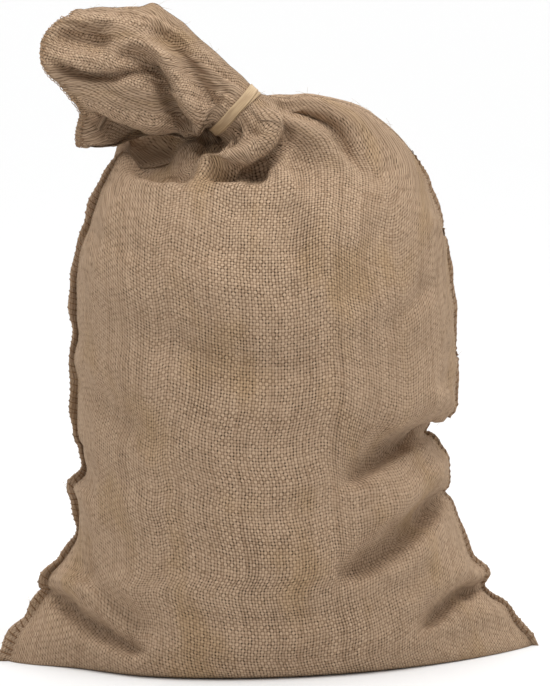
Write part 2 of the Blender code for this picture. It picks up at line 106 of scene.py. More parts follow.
# Edge of the mouth: how far left it reaches at each height, front and back.
RIM_COLUMNS = ("z", "x_front", "x_back")
RIM = (
    (478, -179, -174),
    (489, -178, -172),
    (498, -175, -170),
    (507, -172, -170),
    (516, -177, -172),
    (526, -185, -177),
    (535, -193, -182),
    (544, -203, -188),
    (553, -207, -192),
    (562, -208, -194),
    (572, -207, -193),
    (581, -202, -190),
    (590, -194, -186),
    (600, -182, -178),
)

# ------------------------------------------------------- pleats at the neck
# One row per pleat: place round the neck in degrees (0 upper right, 90 front,
# 180 lower left, 270 back), depth of the groove, its half width in degrees.
PLEAT_COLUMNS = ("angle", "depth", "half_width")
PLEATS = (
    ( 12, 2.6,  6), ( 38, 3.4,  7), ( 67, 2.4,  5), ( 88, 3.8,  6),
    (118, 2.6,  7), (146, 3.6,  7), (171, 3.0,  6), (198, 2.6,  7),
    (224, 3.6,  7), (251, 2.8,  6), (279, 3.4,  7), (303, 2.4,  6),
    (331, 3.2,  7),
)

# ------------------------------------------------------------ folds and creases
# One row per fold: side it lies on (-1 front, 1 back), points x z along it,
# depth (positive sinks in, negative stands out), half width on the side to the
# left of its direction and on the side to the right.
FOLD_COLUMNS = ("side", "points", "depth", "left_width", "right_width")
FOLDS = (
    # lower left corner, running down into the base
    (-1, ((-181, 100), (-154, 74), (-130, 56), (-103, 40)), 6, 16, 12),
    (-1, ((-208, 64), (-187, 54), (-164, 41), (-134, 27), (-112, 22)), 8, 12, 10),
    # right side, running down and inwards from the seam
    (-1, ((168, 226), (149, 220), (121, 206), (105, 199), (85, 185), (62, 174)), 12, 9, 20),
    (-1, ((176, 158), (157, 145), (131, 128), (106, 110), (81, 97), (62, 90)), 9, 11, 20),
    (-1, ((206, 64), (188, 62), (174, 60), (161, 49), (139, 35)), 8, 9, 14),
    # bulges between them
    (-1, ((168, 256), (140, 238), (104, 224)), -5, 20, 20),
    (-1, ((160, 182), (130, 164), (96, 146)), -4, 18, 18),
    # left side, soft
    (-1, ((-186, 268), (-158, 252), (-116, 216)), 4, 22, 18),
    (-1, ((171, 293), (164, 271), (156, 247)), 2.5, 10, 14),
    (-1, ((94, 446), (107, 454), (120, 462)), 1.5, 4, 4),
    # front of the shoulder, under the band
    (-1, ((-24, 451), (-14, 451), (-4, 452)), 12, 9, 7),
    (-1, ((-6, 510), (1, 492), (-3, 478), (-20, 469), (-49, 461)), -5, 9, 10),
    (-1, ((0, 512), (8, 496), (12, 482)), 6, 7, 7),
    (-1, ((10, 484), (-2, 466), (8, 452), (28, 430)), -3.5, 10, 10),
    (-1, ((4, 520), (22, 508), (42, 500), (58, 490), (72, 468)), 7, 10, 9),
    (-1, ((-64, 470), (-72, 462), (-84, 455), (-99, 453)), 5, 8, 9),
    # back of the shoulder
    (1, ((-4, 500), (-30, 470), (-52, 430)), 6, 12, 12),
    (1, ((14, 508), (16, 470), (6, 420)), 6, 12, 12),
    (1, ((36, 508), (66, 474), (84, 430)), 7, 13, 12),
    (1, ((-84, 474), (-104, 452), (-126, 420)), 5, 12, 12),
    # back, creases running in from the seams
    (1, ((170, 216), (130, 204), (84, 176)), 8, 16, 11),
    (1, ((-178, 190), (-136, 176), (-92, 150)), 7, 11, 16),
    (1, ((186, 84), (150, 70), (112, 44)), 7, 13, 10),
    (1, ((-200, 66), (-160, 56), (-122, 34)), 7, 10, 13),
    # mouth: groove beside the upper roll, deep groove under the middle roll,
    # edge of the fold over the lower panel, lower panel over the corner flap
    (-1, ((-44, 506), (-58, 528), (-76, 555), (-94, 573), (-117, 583)), 5, 8, 8),
    (-1, ((-180, 583), (-160, 578), (-144, 575)), 5, 12, 12),
    (-1, ((-58, 499), (-72, 512), (-85, 536), (-94, 556), (-108, 570), (-138, 570)), -6, 9, 8),
    (-1, ((-54, 488), (-74, 499), (-89, 521), (-97, 541), (-112, 553), (-130, 556)), 10, 8, 6),
    (-1, ((-190, 549), (-176, 543), (-163, 539), (-144, 539), (-112, 544)), 6, 9, 5),
    (-1, ((-165, 504), (-147, 494), (-125, 484), (-106, 475), (-84, 480)), 8, 9, 6),
    # mouth, back
    (1, ((-50, 520), (-90, 550), (-140, 566), (-188, 568)), 8, 9, 9),
    (1, ((-50, 500), (-96, 512), (-140, 518), (-180, 522)), 8, 9, 9),
)


# ------------------------------------------------------------------ functions
def rows_to_curve(rows, step_of):
    """Rows of numbers -> many rows on a smooth curve through them."""
    rows = np.array(rows, float)
    cols = rows.shape[1] - 1                    # the first column is the length
    t = rows[:, 0]
    v = rows[:, 1:]
    h = np.diff(t)
    slope = np.diff(v, axis=0) / h[:, None]
    m = np.zeros_like(v)
    m[0], m[-1] = slope[0], slope[-1]
    for i in range(1, len(t) - 1):
        w = h[i] / (h[i - 1] + h[i])
        m[i] = slope[i - 1] * w + slope[i] * (1 - w)
    out_t, out = [t[0]], [v[0]]
    for i in range(len(h)):
        n = max(1, int(round(h[i] / step_of(0.5 * (t[i] + t[i + 1])))))
        for k in range(1, n + 1):
            u = k / n
            a = (2 * u ** 3 - 3 * u ** 2 + 1) * v[i] + (-2 * u ** 3 + 3 * u ** 2) * v[i + 1]
            b = (u ** 3 - 2 * u ** 2 + u) * m[i] + (u ** 3 - u ** 2) * m[i + 1]
            out_t.append(t[i] + u * h[i])
            out.append(a + h[i] * b)
    return np.array(out_t), np.array(out).reshape(-1, cols)


def fourier(left, right, front, back, c, s):
    """Value round a ring from its value at the four sides."""
    b = (right - left) / 2
    a = (right + left + front + back) / 4
    d = (right + left - front - back) / 4
    e = (front - back) / 2
    return a + b * c + d * (2 * c * c - 1) + e * s


def ring_angles(n):
    """Angles of n columns evenly spaced round the cloth of the filled body."""
    f = np.linspace(0, 2 * math.pi, 4001)
    x, y = 175 * np.cos(f), 131 * np.sin(f)
    length = np.concatenate([[0], np.cumsum(np.hypot(np.diff(x), np.diff(y)))])
    want = np.arange(n) / n * length[-1]
    return math.pi - np.interp(want, length, f)      # from the left seam by the front


def body_ring(row, ang, depth=1.0):
    """Points of one section of the body; depth shrinks it towards its middle line."""
    xl, zl, xr, zr, yf, zf, yb, zb, yl, yr, end = row
    c, s = np.cos(ang), np.sin(ang)
    x = (xl + xr) / 2 + (xr - xl) / 2 * c
    z = fourier(zl, zr, zf, zb, c, s)
    bulge = np.maximum(0.0, 1 - c * c) ** end
    mid = (yl + yr) / 2 * c * c + (yr - yl) / 2 * c
    side = np.where(s >= 0, yf, yb)
    y = mid + (side - np.sign(side) * 0) * bulge
    y = y + np.where(s >= 0, -FLANGE_HALF, FLANGE_HALF) * (np.abs(s) > 1e-6) * (1 - bulge)
    y = mid + (y - mid) * depth
    return np.stack([x, y, z], 1)


def neck_ring(along, radius, ang):
    """A round section of the neck, square to its axis."""
    c, s = np.cos(ang), np.sin(ang)
    centre = np.array(NECK_CENTRE) + along * np.array(NECK_AXIS)
    return centre + radius * (c[:, None] * np.array(NECK_ACROSS)
                              + s[:, None] * np.array((0.0, -1.0, 0.0)))


def mouth_ring(row, ang):
    xl, yl, zl, xr, yr, zr, xf, yf, zf, xb, yb, zb = row
    c, s = np.cos(ang), np.sin(ang)
    return np.stack([fourier(xl, xr, xf, xb, c, s), fourier(yl, yr, yf, yb, c, s),
                     fourier(zl, zr, zf, zb, c, s)], 1)


def rim_ring(row, ang):
    ring = mouth_ring(row, ang)
    rim = np.array(RIM, float)
    s = np.sin(ang)
    front = np.interp(ring[:, 2], rim[:, 0], rim[:, 1])
    back = np.interp(ring[:, 2], rim[:, 0], rim[:, 2])
    w = np.clip(0.5 + 0.9 * s, 0, 1)
    ring[:, 0] = back + (front - back) * w
    return ring


def section_lengths(rows, front, back):
    """Cloth length up to each row, from how far its four sides move."""
    t = [0.0]
    for a, b in zip(rows[:-1], rows[1:]):
        d = [np.linalg.norm(np.subtract(p(a), p(b))) for p in (front, back)]
        t.append(t[-1] + sum(d) / len(d))
    return t


def build_rings(columns, step, neck_step):
    """All rings from the fold in the base to the edge of the mouth."""
    ang = ring_angles(columns)
    rings, where = [], []
    length = 0.0
    floor = SECTIONS[0]
    half = 113.0
    ks = [0.0]
    n = max(3, int(round(half / (step * 2.2))))
    for k in range(1, n):
        ks.append(k / n)
    for k in ks:
        rings.append(body_ring(floor, ang, k))
        where.append(k * half)
    length = half
    # body
    t = section_lengths(SECTIONS, lambda r: (r[4], r[5]), lambda r: (r[0], r[1]))
    rows = [(ti,) + tuple(r) for ti, r in zip(t, SECTIONS)]
    tt, vals = rows_to_curve(rows, lambda x: step if x < 395 else min(step, neck_step * 1.7))
    for ti, r in zip(tt, vals):
        rings.append(body_ring(r, ang))
        where.append(length + ti)
    length += tt[-1]
    # neck: rounds the section off over the last stretch, then runs under the band
    n_neck = max(2, int(round(10 / neck_step)))
    for along, radius in ((-15.0, NECK_R + 1.2), (-8.0, NECK_R)):
        rings.append(neck_ring(along, radius, ang))
        where.append(length + 12 + along + 15)
    for k in range(1, n_neck + 1):
        rings.append(neck_ring(-8.0 + 16.0 * k / n_neck, NECK_R, ang))
        where.append(length + 19 + 16.0 * k / n_neck)
    length += 35
    rings.append(neck_ring(14.0, NECK_R + 1.0, ang))
    length += 6
    where.append(length)
    band_index = len(rings) - 2 - n_neck // 2
    # mouth: sections joined column by column with smooth curves
    last, prev = rings[-1], rings[-2]
    keys = [prev, last] + [mouth_ring(r, ang) for r in MOUTH[:-1]] + [rim_ring(MOUTH[-1], ang)]
    keys = np.array(keys)
    gap = np.linalg.norm(np.diff(keys, axis=0), axis=2).mean(1)
    for i in range(1, len(keys) - 1):
        p0, p1, p2 = keys[i - 1], keys[i], keys[i + 1]
        p3 = keys[i + 2] if i + 2 < len(keys) else 2 * p2 - p1
        m1 = (p2 - p0) / (gap[i - 1] + gap[i]) * gap[i]
        g3 = gap[i + 1] if i + 1 < len(gap) else gap[i]
        m2 = (p3 - p1) / (gap[i] + g3) * gap[i]
        n = max(1, int(round(gap[i] / neck_step)))
        for k in range(1, n + 1):
            u = k / n
            rings.append((2 * u ** 3 - 3 * u ** 2 + 1) * p1 + (u ** 3 - 2 * u ** 2 + u) * m1
                         + (-2 * u ** 3 + 3 * u ** 2) * p2 + (u ** 3 - u ** 2) * m2)
            where.append(length + u * gap[i])
        length += gap[i]
    return np.array(rings), np.array(where), ang, len(ks), band_index


def grid_normals(g):
    """Outward normals of a grid of rings."""
    up = np.empty_like(g)
    up[1:-1] = g[2:] - g[:-2]
    up[0], up[-1] = g[1] - g[0], g[-1] - g[-2]
    along = np.roll(g, -1, 1) - np.roll(g, 1, 1)
    n = np.cross(along, up)
    n /= np.maximum(np.linalg.norm(n, axis=2, keepdims=True), 1e-9)
    return n


def polyline(points, n=24):
    """A smooth curve through a few points."""
    p = np.array(points, float)
    if len(p) == 2:
        u = np.linspace(0, 1, n)[:, None]
        return p[0] * (1 - u) + p[1] * u
    e = np.vstack([2 * p[0] - p[1], p, 2 * p[-1] - p[-2]])
    out = []
    per = max(3, n // (len(p) - 1))
    for i in range(len(p) - 1):
        a, b, c, d = e[i], e[i + 1], e[i + 2], e[i + 3]
        for k in range(per):
            u = k / per
            out.append(0.5 * (2 * b + (c - a) * u + (2 * a - 5 * b + 4 * c - d) * u * u
                              + (3 * b - a - 3 * c + d) * u ** 3))
    out.append(p[-1])
    return np.array(out)


def fold_relief(points, normals, folds):
    """How far each point sinks in at the folds of its side."""
    total = np.zeros(points.shape[:-1])
    xz = points[..., (0, 2)]
    ny = normals[..., 1]
    for side, pts, depth, wl, wr in folds:
        line = polyline(pts)
        facing = np.clip((side * ny + 0.35) / 0.5, 0, 1)
        reach = 3 * max(wl, wr)
        box = ((xz[..., 0] > line[:, 0].min() - reach) & (xz[..., 0] < line[:, 0].max() + reach)
               & (xz[..., 1] > line[:, 1].min() - reach) & (xz[..., 1] < line[:, 1].max() + reach)
               & (facing > 0))
        q = xz[box]
        if not len(q):
            continue
        best = np.full(len(q), 1e9)
        sign = np.ones(len(q))
        place = np.zeros(len(q))
        count = len(line) - 1
        for i in range(count):
            a, b = line[i], line[i + 1]
            d = b - a
            u = np.clip(((q - a) @ d) / (d @ d), 0, 1)
            r = q - (a + u[:, None] * d)
            dist = np.hypot(r[:, 0], r[:, 1])
            near = dist < best
            best[near] = dist[near]
            sign[near] = np.sign(d[0] * r[:, 1] - d[1] * r[:, 0])[near]
            place[near] = ((i + u) / count)[near]
        width = np.where(sign > 0, wl, wr)
        taper = np.clip(np.minimum(place, 1 - place) / 0.22, 0, 1)
        taper = taper * taper * (3 - 2 * taper) * 0.85 + 0.15 * (taper > 0)
        total[box] += depth * np.exp(-(best / width) ** 2) * taper * facing[box]
    return total


def pleat_relief(rings, where, ang, band_at):
    """Grooves that run through the neck and fade into the body and the mouth."""
    deg = np.degrees(ang) % 360
    total = np.zeros(len(deg))
    for angle, depth, half in PLEATS:
        d = (deg - angle + 180) % 360 - 180
        total += depth * np.exp(-(d / half) ** 2)
    away = where - band_at
    fade = np.where(away < 0, np.exp(-(away / 34.0) ** 2), np.exp(-(away / 40.0) ** 2))
    grow = np.where(np.abs(away) < 10, 0.45, np.where(np.abs(away) < 18, 0.8, 1.25))
    return (fade * grow)[:, None] * total[None, :]


def sack_grid(columns, step, neck_step):
    rings, where, ang, base_rows, band_index = build_rings(columns, step, neck_step)
    band_at = where[band_index]
    normals = grid_normals(rings)
    depth = fold_relief(rings, normals, FOLDS)
    depth += pleat_relief(rings, where, ang, band_at)
    # nothing sinks in where the cloth lies on the floor or passes under the band
    height = np.clip((rings[..., 2] - 3) / 22, 0, 1)
    clear = np.clip((np.abs(where - band_at) - 9) / 10, 0, 1)[:, None]
    pleats_only = pleat_relief(rings, where, ang, band_at)
    depth = pleats_only + (depth - pleats_only) * clear
    depth *= height
    out = rings - normals * depth[..., None]
    out[:base_rows] = rings[:base_rows]
    out[..., 2] = np.maximum(out[..., 2], 0.0)
    return out, where, ang, base_rows, band_index



# ------------------------------------------------------------ finer unevenness
def soft_noise(seed, count, low, high, u, v, period):
    """Sum of waves over the cloth, the same on both sides of the seam."""
    rng = np.random.default_rng(seed)
    total = np.zeros(np.broadcast(u, v).shape)
    for _ in range(count):
        length = low * (high / low) ** rng.random()
        turn = rng.random() * 2 * math.pi
        k = 2 * math.pi / length
        ku = round(k * math.cos(turn) * period / (2 * math.pi)) * 2 * math.pi / period
        total += np.sin(ku * u + k * math.sin(turn) * v + rng.random() * 2 * math.pi)
    return total / math.sqrt(count / 2)


# One row per crease: side, points x z, depth (negative stands out), width to the
# left and to the right of its direction, lap (how far the cloth to the right of the
# line hangs over it; negative: the cloth to the left).
CREASE_COLUMNS = ("side", "points", "depth", "left_width", "right_width", "lap")
CREASES = (
    # mouth: valley beside the upper roll, crease under the middle roll, hollow
    (-1, ((-44, 503), (-58, 528), (-76, 555), (-94, 571), (-117, 581)), 11, 7, 11, 0),
    (-1, ((-64, 494), (-78, 504), (-89, 523), (-95, 542), (-108, 555)), 19, 10, 4.5, 4),
    (-1, ((-58, 501), (-72, 514), (-85, 537), (-94, 555), (-108, 569), (-124, 573)), -9, 7, 7, 0),
    (-1, ((-98, 550), (-113, 558), (-128, 559), (-142, 556)), 13, 9, 9, 0),
    # hem of the front layer, with the inside of the mouth above it
    (-1, ((-196, 556), (-190, 551), (-176, 546), (-163, 541), (-144, 541), (-108, 546), (-98, 541)), 10, 3, 3.5, 0),
    (-1, ((-198, 563), (-188, 557), (-176, 552), (-163, 547), (-144, 548), (-120, 551)), -4.5, 4, 3, 0),
    (-1, ((-196, 577), (-178, 573), (-160, 571), (-140, 568)), 15, 11, 9, 0),
    (-1, ((-188, 590), (-160, 592), (-132, 590)), -5, 6, 6, 0),
    # lower edge of the front layer over the corner flap
    (-1, ((-172, 517), (-149, 502), (-126, 492), (-108, 484), (-94, 484), (-80, 488)), 20, 3, 22, -4),
    (-1, ((-165, 522), (-146, 509), (-123, 499), (-104, 492), (-86, 492)), -6, 8, 6, 0),
    (-1, ((-150, 486), (-128, 478), (-108, 477)), 2.5, 4, 5, 0),
    # small pleats at the band
    (-1, ((-49, 514), (-42, 501)), 3.5, 2.6, 2.6, 0),
    (-1, ((-62, 534), (-46, 512), (-38, 503)), 2.5, 3, 3, 0),
    (-1, ((-50, 545), (-36, 522), (-30, 512)), 2.2, 3, 3, 0),
    (-1, ((-78, 528), (-66, 511), (-54, 499)), 3.0, 3, 3, 0),
    (-1, ((-68, 502), (-58, 494), (-52, 490)), 4.0, 3, 3, 0),
    # the lip below the band and the pocket behind it
    (-1, ((-12, 516), (-4, 506), (1, 492), (-1, 481), (-13, 473), (-31, 467), (-49, 461), (-60, 456), (-66, 449)), -19, 7.0, 7.0, 0),
    (-1, ((-60, 449), (-46, 451), (-33, 453), (-20, 453), (-8, 448)), 14, 4, 4, -2),
    (-1, ((-18, 452), (-10, 450), (-3, 446)), 12, 3.4, 3.2, 0),
    (-1, ((-66, 446), (-44, 443), (-24, 441), (-3, 440), (12, 446)), -5, 5, 7, 0),
    (-1, ((-58, 492), (-57, 480), (-62, 470)), 13, 5, 5, 0),
    (-1, ((-38, 494), (-42, 484), (-50, 476)), 3.5, 3.0, 3.0, 0),
    (-1, ((-12, 508), (-8, 494), (-12, 482)), 2.5, 3, 3, 0),
    (-1, ((-46, 491), (-44, 480), (-50, 468)), 3.0, 3, 3, 0),
    # left of the neck
    (-1, ((-136, 463), (-118, 457), (-97, 453), (-82, 453), (-66, 452)), 14, 17, 3.5, -3),
    (-1, ((-58, 482), (-66, 470), (-73, 458)), 7, 4, 5, 0),
    (-1, ((-128, 448), (-100, 443), (-76, 442)), -4, 8, 8, 0),
    # right of the neck: back roll, valley, front ridge
    (-1, ((-8, 525), (15, 511), (37, 503), (56, 493), (69, 473), (90, 449)), 14, 6, 4.5, 4),
    (-1, ((-2, 516), (14, 499), (30, 492), (48, 484), (64, 464), (84, 440)), -9, 6, 10, 0),
    (-1, ((2, 508), (12, 497), (15, 487), (11, 476), (1, 466), (-9, 459), (-15, 454)), 19, 4.5, 5, 0),
    (-1, ((-22, 502), (-26, 493), (-34, 482), (-45, 475), (-56, 470)), 12, 4.5, 4, 0),
    (-1, ((22, 486), (12, 468), (12, 452), (30, 430), (42, 412)), -6, 8, 8, 0),
    (-1, ((24, 484), (32, 462), (52, 438)), 4, 9, 9, 0),
    (-1, ((92, 444), (107, 454), (122, 463)), 2, 2.5, 2.5, 0),
    (-1, ((20, 523), (55, 512), (92, 494)), -3, 7, 7, 0),
    # right side of the body
    (-1, ((164, 209), (154, 213), (144, 214), (121, 205), (105, 198), (85, 185), (58, 171)), 15, 4, 12, 6),
    (-1, ((174, 156), (157, 145), (131, 128), (106, 110), (81, 97), (54, 88)), 17, 6, 14, 5),
    (-1, ((196, 55), (184, 57), (174, 57), (158, 47), (132, 28)), 14, 3.5, 10, 4),
    (-1, ((170, 188), (146, 172), (112, 152), (80, 138)), -8, 13, 13, 0),
    (-1, ((190, 92), (164, 78), (132, 62), (104, 54)), -6, 14, 14, 0),
    (-1, ((156, 118), (128, 98), (98, 82)), -4, 10, 12, 0),
    (-1, ((166, 246), (138, 232), (104, 222)), -5, 12, 14, 0),
    (-1, ((171, 300), (166, 272), (154, 247)), 3, 5, 6, 0),
    (-1, ((30, 166), (8, 150), (-20, 140)), 2.5, 14, 16, 0),
    (-1, ((-160, 336), (-104, 314), (-62, 298), (-20, 288), (20, 283), (70, 286)), 8.0, 18, 22, 0),
    (-1, ((-26, 436), (-37, 408), (-50, 376)), 6.0, 9, 12, 0),
    (-1, ((16, 434), (20, 406), (27, 370)), 5.5, 9, 11, 0),
    (-1, ((108, 428), (92, 380), (66, 326)), 7.0, 15, 15, 0),
    (-1, ((156, 360), (130, 330), (92, 302)), 7.0, 10, 15, 0),
    (-1, ((-110, 372), (-60, 362), (-6, 352)), -5.0, 18, 18, 0),
    (-1, ((-176, 258), (-130, 236), (-88, 206)), 5.0, 11, 14, 0),
    (-1, ((-100, 62), (-40, 54), (20, 54), (90, 62)), 4.0, 10, 11, 0),
    # left side of the body
    (-1, ((-212, 68), (-190, 56), (-164, 41), (-134, 27), (-108, 22)), 16, 8, 3, -5),
    (-1, ((-186, 106), (-154, 76), (-130, 57), (-100, 40)), 6, 7, 7, 0),
    (-1, ((-188, 268), (-158, 252), (-116, 216), (-96, 196)), 3, 10, 10, 0),
    (-1, ((-182, 176), (-160, 160), (-128, 138)), 3, 9, 10, 0),
    (-1, ((-184, 312), (-168, 300), (-150, 292)), 2.5, 8, 8, 0),
    (-1, ((-168, 404), (-140, 392), (-112, 384)), 2.2, 10, 10, 0),
    (-1, ((-120, 22), (-60, 17), (10, 16), (80, 20)), 1.6, 6, 6, 0),
    # back
    (1, ((176, 232), (140, 214), (92, 186)), 8, 5, 11, 3),
    (1, ((-184, 206), (-146, 186), (-96, 160)), 8, 11, 5, -3),
    (1, ((-10, 508), (-22, 480), (-30, 440)), 9, 5, 7, 0),
    (1, ((20, 510), (34, 476), (40, 430)), 9, 6, 5, 0),
    (1, ((-40, 500), (-72, 474), (-100, 430)), 8, 6, 6, 0),
    (1, ((52, 508), (84, 480), (108, 440)), 8, 6, 6, 0),
    (1, ((-44, 526), (-90, 560), (-150, 582)), 9, 5, 8, 0),
    (1, ((-56, 498), (-100, 520), (-176, 540)), 10, 5, 8, 0),
    (1, ((-56, 490), (-110, 500), (-170, 506)), 7, 5, 8, 0),
)

# Places where the outline itself goes in or out: part (0 body, 1 mouth), side (0 for
# both), middle x z, reach x z, move x y z.
PUSH_COLUMNS = ("part", "side", "middle", "reach", "move")
PUSHES = (
    (0, 0, (160, 206), (24, 6), (-10, 0, 0)),
    (0, 0, (166, 225), (24, 12), (8, 0, -1)),
    (0, 0, (168, 283), (26, 22), (5, 0, 0)),
    (0, 0, (152, 220), (14, 7), (9, 0, 0)),
    (0, 0, (206, 58), (20, 6), (-1, 0, 0)),
    (0, 0, (196, 72), (24, 10), (14, 0, 0)),
    (0, 0, (-182, 164), (12, 9), (-8, 0, 0)),
    (0, 0, (-182, 408), (24, 20), (5, 0, 0)),
    (0, 0, (186, 158), (20, 10), (6, 0, 0)),
    (0, 0, (-196, 99), (18, 10), (-15, 0, 0)),
    (0, 1, (-126, 468), (40, 18), (-16, 10, 22)),
    (0, 1, (-74, 480), (36, 14), (0, 14, 12)),
    (0, 0, (14, 520), (32, 12), (0, 0, 5)),
    (0, 1, (-54, 484), (14, 10), (0, 0, 9)),
    (1, 1, (-56, 498), (14, 10), (0, 0, -6)),
    (0, -1, (-178, 0), (44, 34), (0, 15, 0)),
    (1, -1, (-122, 500), (46, 22), (0, 13, 0)),
    (1, -1, (-150, 556), (60, 10), (0, -5, 0)),
    (1, 0, (-62, 498), (18, 14), (0, 0, -15)),
    (1, 0, (-160, 480), (34, 16), (0, 0, -5.5)),
    (1, 0, (-186, 601), (14, 8), (0, 0, -6)),
    (1, 1, (-106, 604), (9, 14), (0, 0, 6)),
)


def near_line(q, line):
    """Distance of points to a line, the side they lie on, their place along it and
    the direction across it, from its right side to its left."""
    best = np.full(len(q), 1e9)
    sign = np.ones(len(q))
    place = np.zeros(len(q))
    across = np.zeros((len(q), 2))
    count = len(line) - 1
    for i in range(count):
        a, b = line[i], line[i + 1]
        d = b - a
        u = np.clip(((q - a) @ d) / (d @ d), 0, 1)
        r = q - (a + u[:, None] * d)
        dist = np.hypot(r[:, 0], r[:, 1])
        near = dist < best
        best[near] = dist[near]
        sign[near] = np.sign(d[0] * r[:, 1] - d[1] * r[:, 0])[near]
        place[near] = ((i + u) / count)[near]
        across[near] = np.array((-d[1], d[0])) / np.hypot(*d)
    return best, sign, place, across


def crease(points, normals):
    """Sink in or stand out at every crease, and hang over it where it laps."""
    depth = np.zeros(points.shape[:-1])
    shift = np.zeros(points.shape)
    xz = points[..., (0, 2)]
    ny = normals[..., 1]
    for side, pts, d0, wl, wr, lap in CREASES:
        line = polyline(pts, 30)
        facing = np.clip((side * ny + 0.35) / 0.5, 0, 1)
        reach = 4 * max(wl, wr)
        box = ((xz[..., 0] > line[:, 0].min() - reach) & (xz[..., 0] < line[:, 0].max() + reach)
               & (xz[..., 1] > line[:, 1].min() - reach) & (xz[..., 1] < line[:, 1].max() + reach)
               & (facing > 0))
        q = xz[box]
        if not len(q):
            continue
        best, sign, place, across = near_line(q, line)
        width = np.where(sign > 0, wl, wr)
        taper = np.clip(np.minimum(place, 1 - place) / 0.25, 0, 1)
        taper = taper * taper * (3 - 2 * taper)
        taper = taper * 0.9 + 0.1 * (taper > 0)
        x = best / width
        shape = 0.55 * np.exp(-(np.sqrt(x * x + 0.03) - 0.173)) + 0.45 * np.exp(-x * x)
        shape *= np.clip((4 - x) / 1.5, 0, 1)
        depth[box] += d0 * shape * taper * facing[box]
        if lap:
            over = sign < 0 if lap > 0 else sign > 0
            w = wr if lap > 0 else wl
            amount = lap * np.exp(-(best / (1.3 * w)) ** 2) * np.clip(best / 2.5, 0, 1) * over * taper * facing[box]
            move = across * amount[:, None]
            shift[box] += np.stack([move[:, 0], np.zeros(len(q)), move[:, 1]], 1)
    return depth, shift


def fine_grid():
    grid, where, ang, base_rows, band_index = sack_grid(COLUMNS, ROW_STEP, NECK_STEP)
    band_at = where[band_index]
    rows, n, _ = grid.shape
    away = band_at - where
    clear = np.clip((np.abs(away) - 8) / 9, 0, 1)[:, None]
    # the outline
    front = np.sin(ang)[None, :] * np.ones((rows, 1))
    for part, side, mid, reach, move in PUSHES:
        w = np.exp(-((grid[..., 0] - mid[0]) / reach[0]) ** 2 - ((grid[..., 2] - mid[1]) / reach[1]) ** 2)
        w = w * (away < 0 if part else away > 0)[:, None]
        if side:
            w = w * np.clip(0.5 - side * front * 1.2, 0, 1)
        w = w * clear
        grid = grid + w[..., None] * np.array(move, float)
    normals = grid_normals(grid)
    depth, shift = crease(grid, normals)
    height = np.clip((grid[..., 2] - 2) / 16, 0, 1)
    k = clear * height
    # in the mouth the layers lie one behind the other, so creases sink straight back
    straight = np.zeros_like(normals)
    straight[..., 1] = np.where(normals[..., 1] < 0, -1.0, 1.0)
    share = (0.8 * np.clip((-away - 8) / 14, 0, 1))[:, None, None]
    way = normals * (1 - share) + straight * share
    grid = grid - way * (depth * k)[..., None] + shift * k[..., None]
    # even out the sharpest corners
    for _ in range(1):
        s = grid.copy()
        s[1:-1] = (grid[:-2] + 2 * grid[1:-1] + grid[2:]) / 4
        s = (np.roll(s, 1, 1) + 2 * s + np.roll(s, -1, 1)) / 4
        keep = np.clip(np.abs(np.cos(ang)) * 30 - 28.5, 0, 1)[None, :, None] * (grid[..., 2:] < 380)
        s[0] = grid[0]
        grid = grid * keep + s * (1 - keep)
    normals = grid_normals(grid)
    u = np.arange(n)[None, :] / n * 1000.0
    v = where[:, None]
    lump = soft_noise(3, 26, 70, 170, u, v, 1000.0) * 1.0
    ripple = soft_noise(7, 40, 22, 50, u, v, 1000.0) * 0.34
    small = soft_noise(11, 40, 8, 16, u, v, 1000.0) * 0.10
    body = np.clip((away - 70) / 60, 0, 1)[:, None]
    outer_part = np.clip((-away - 16) / 30, 0, 1)[:, None]
    bump = (lump * body + ripple * np.maximum(body, outer_part * 1.3)
            + small * np.clip((np.abs(away) - 8) / 10, 0, 1)[:, None]) * np.clip((grid[..., 2] - 3) / 20, 0, 1)
    # the hem: the edge of the mouth turned over and whipped
    from_rim = where[-1] - where
    hem = 1.5 * np.sqrt(np.clip(1 - ((from_rim - 4.0) / 4.0) ** 2, 0, 1))
    out = grid + normals * (bump + hem[:, None])[..., None]
    out[:base_rows, :, 2] = 0.0
    out[..., 2] = np.maximum(out[..., 2], 0.0)
    return out, where, ang, base_rows, band_index


# Section through a seam allowance: how far out, how far to the front (-) or back (+)
FLANGE_SECTION = ((0.0, -1.0), (0.16, -0.55), (0.38, -1.15), (0.66, -1.45), (0.90, -1.1),
                  (1.0, -0.45), (1.0, 0.45), (0.90, 1.1), (0.66, 1.45), (0.38, 1.15),
                  (0.16, 0.55), (0.0, 1.0))
FLANGE_OUT = (7.4, 5.6)          # left seam, right seam


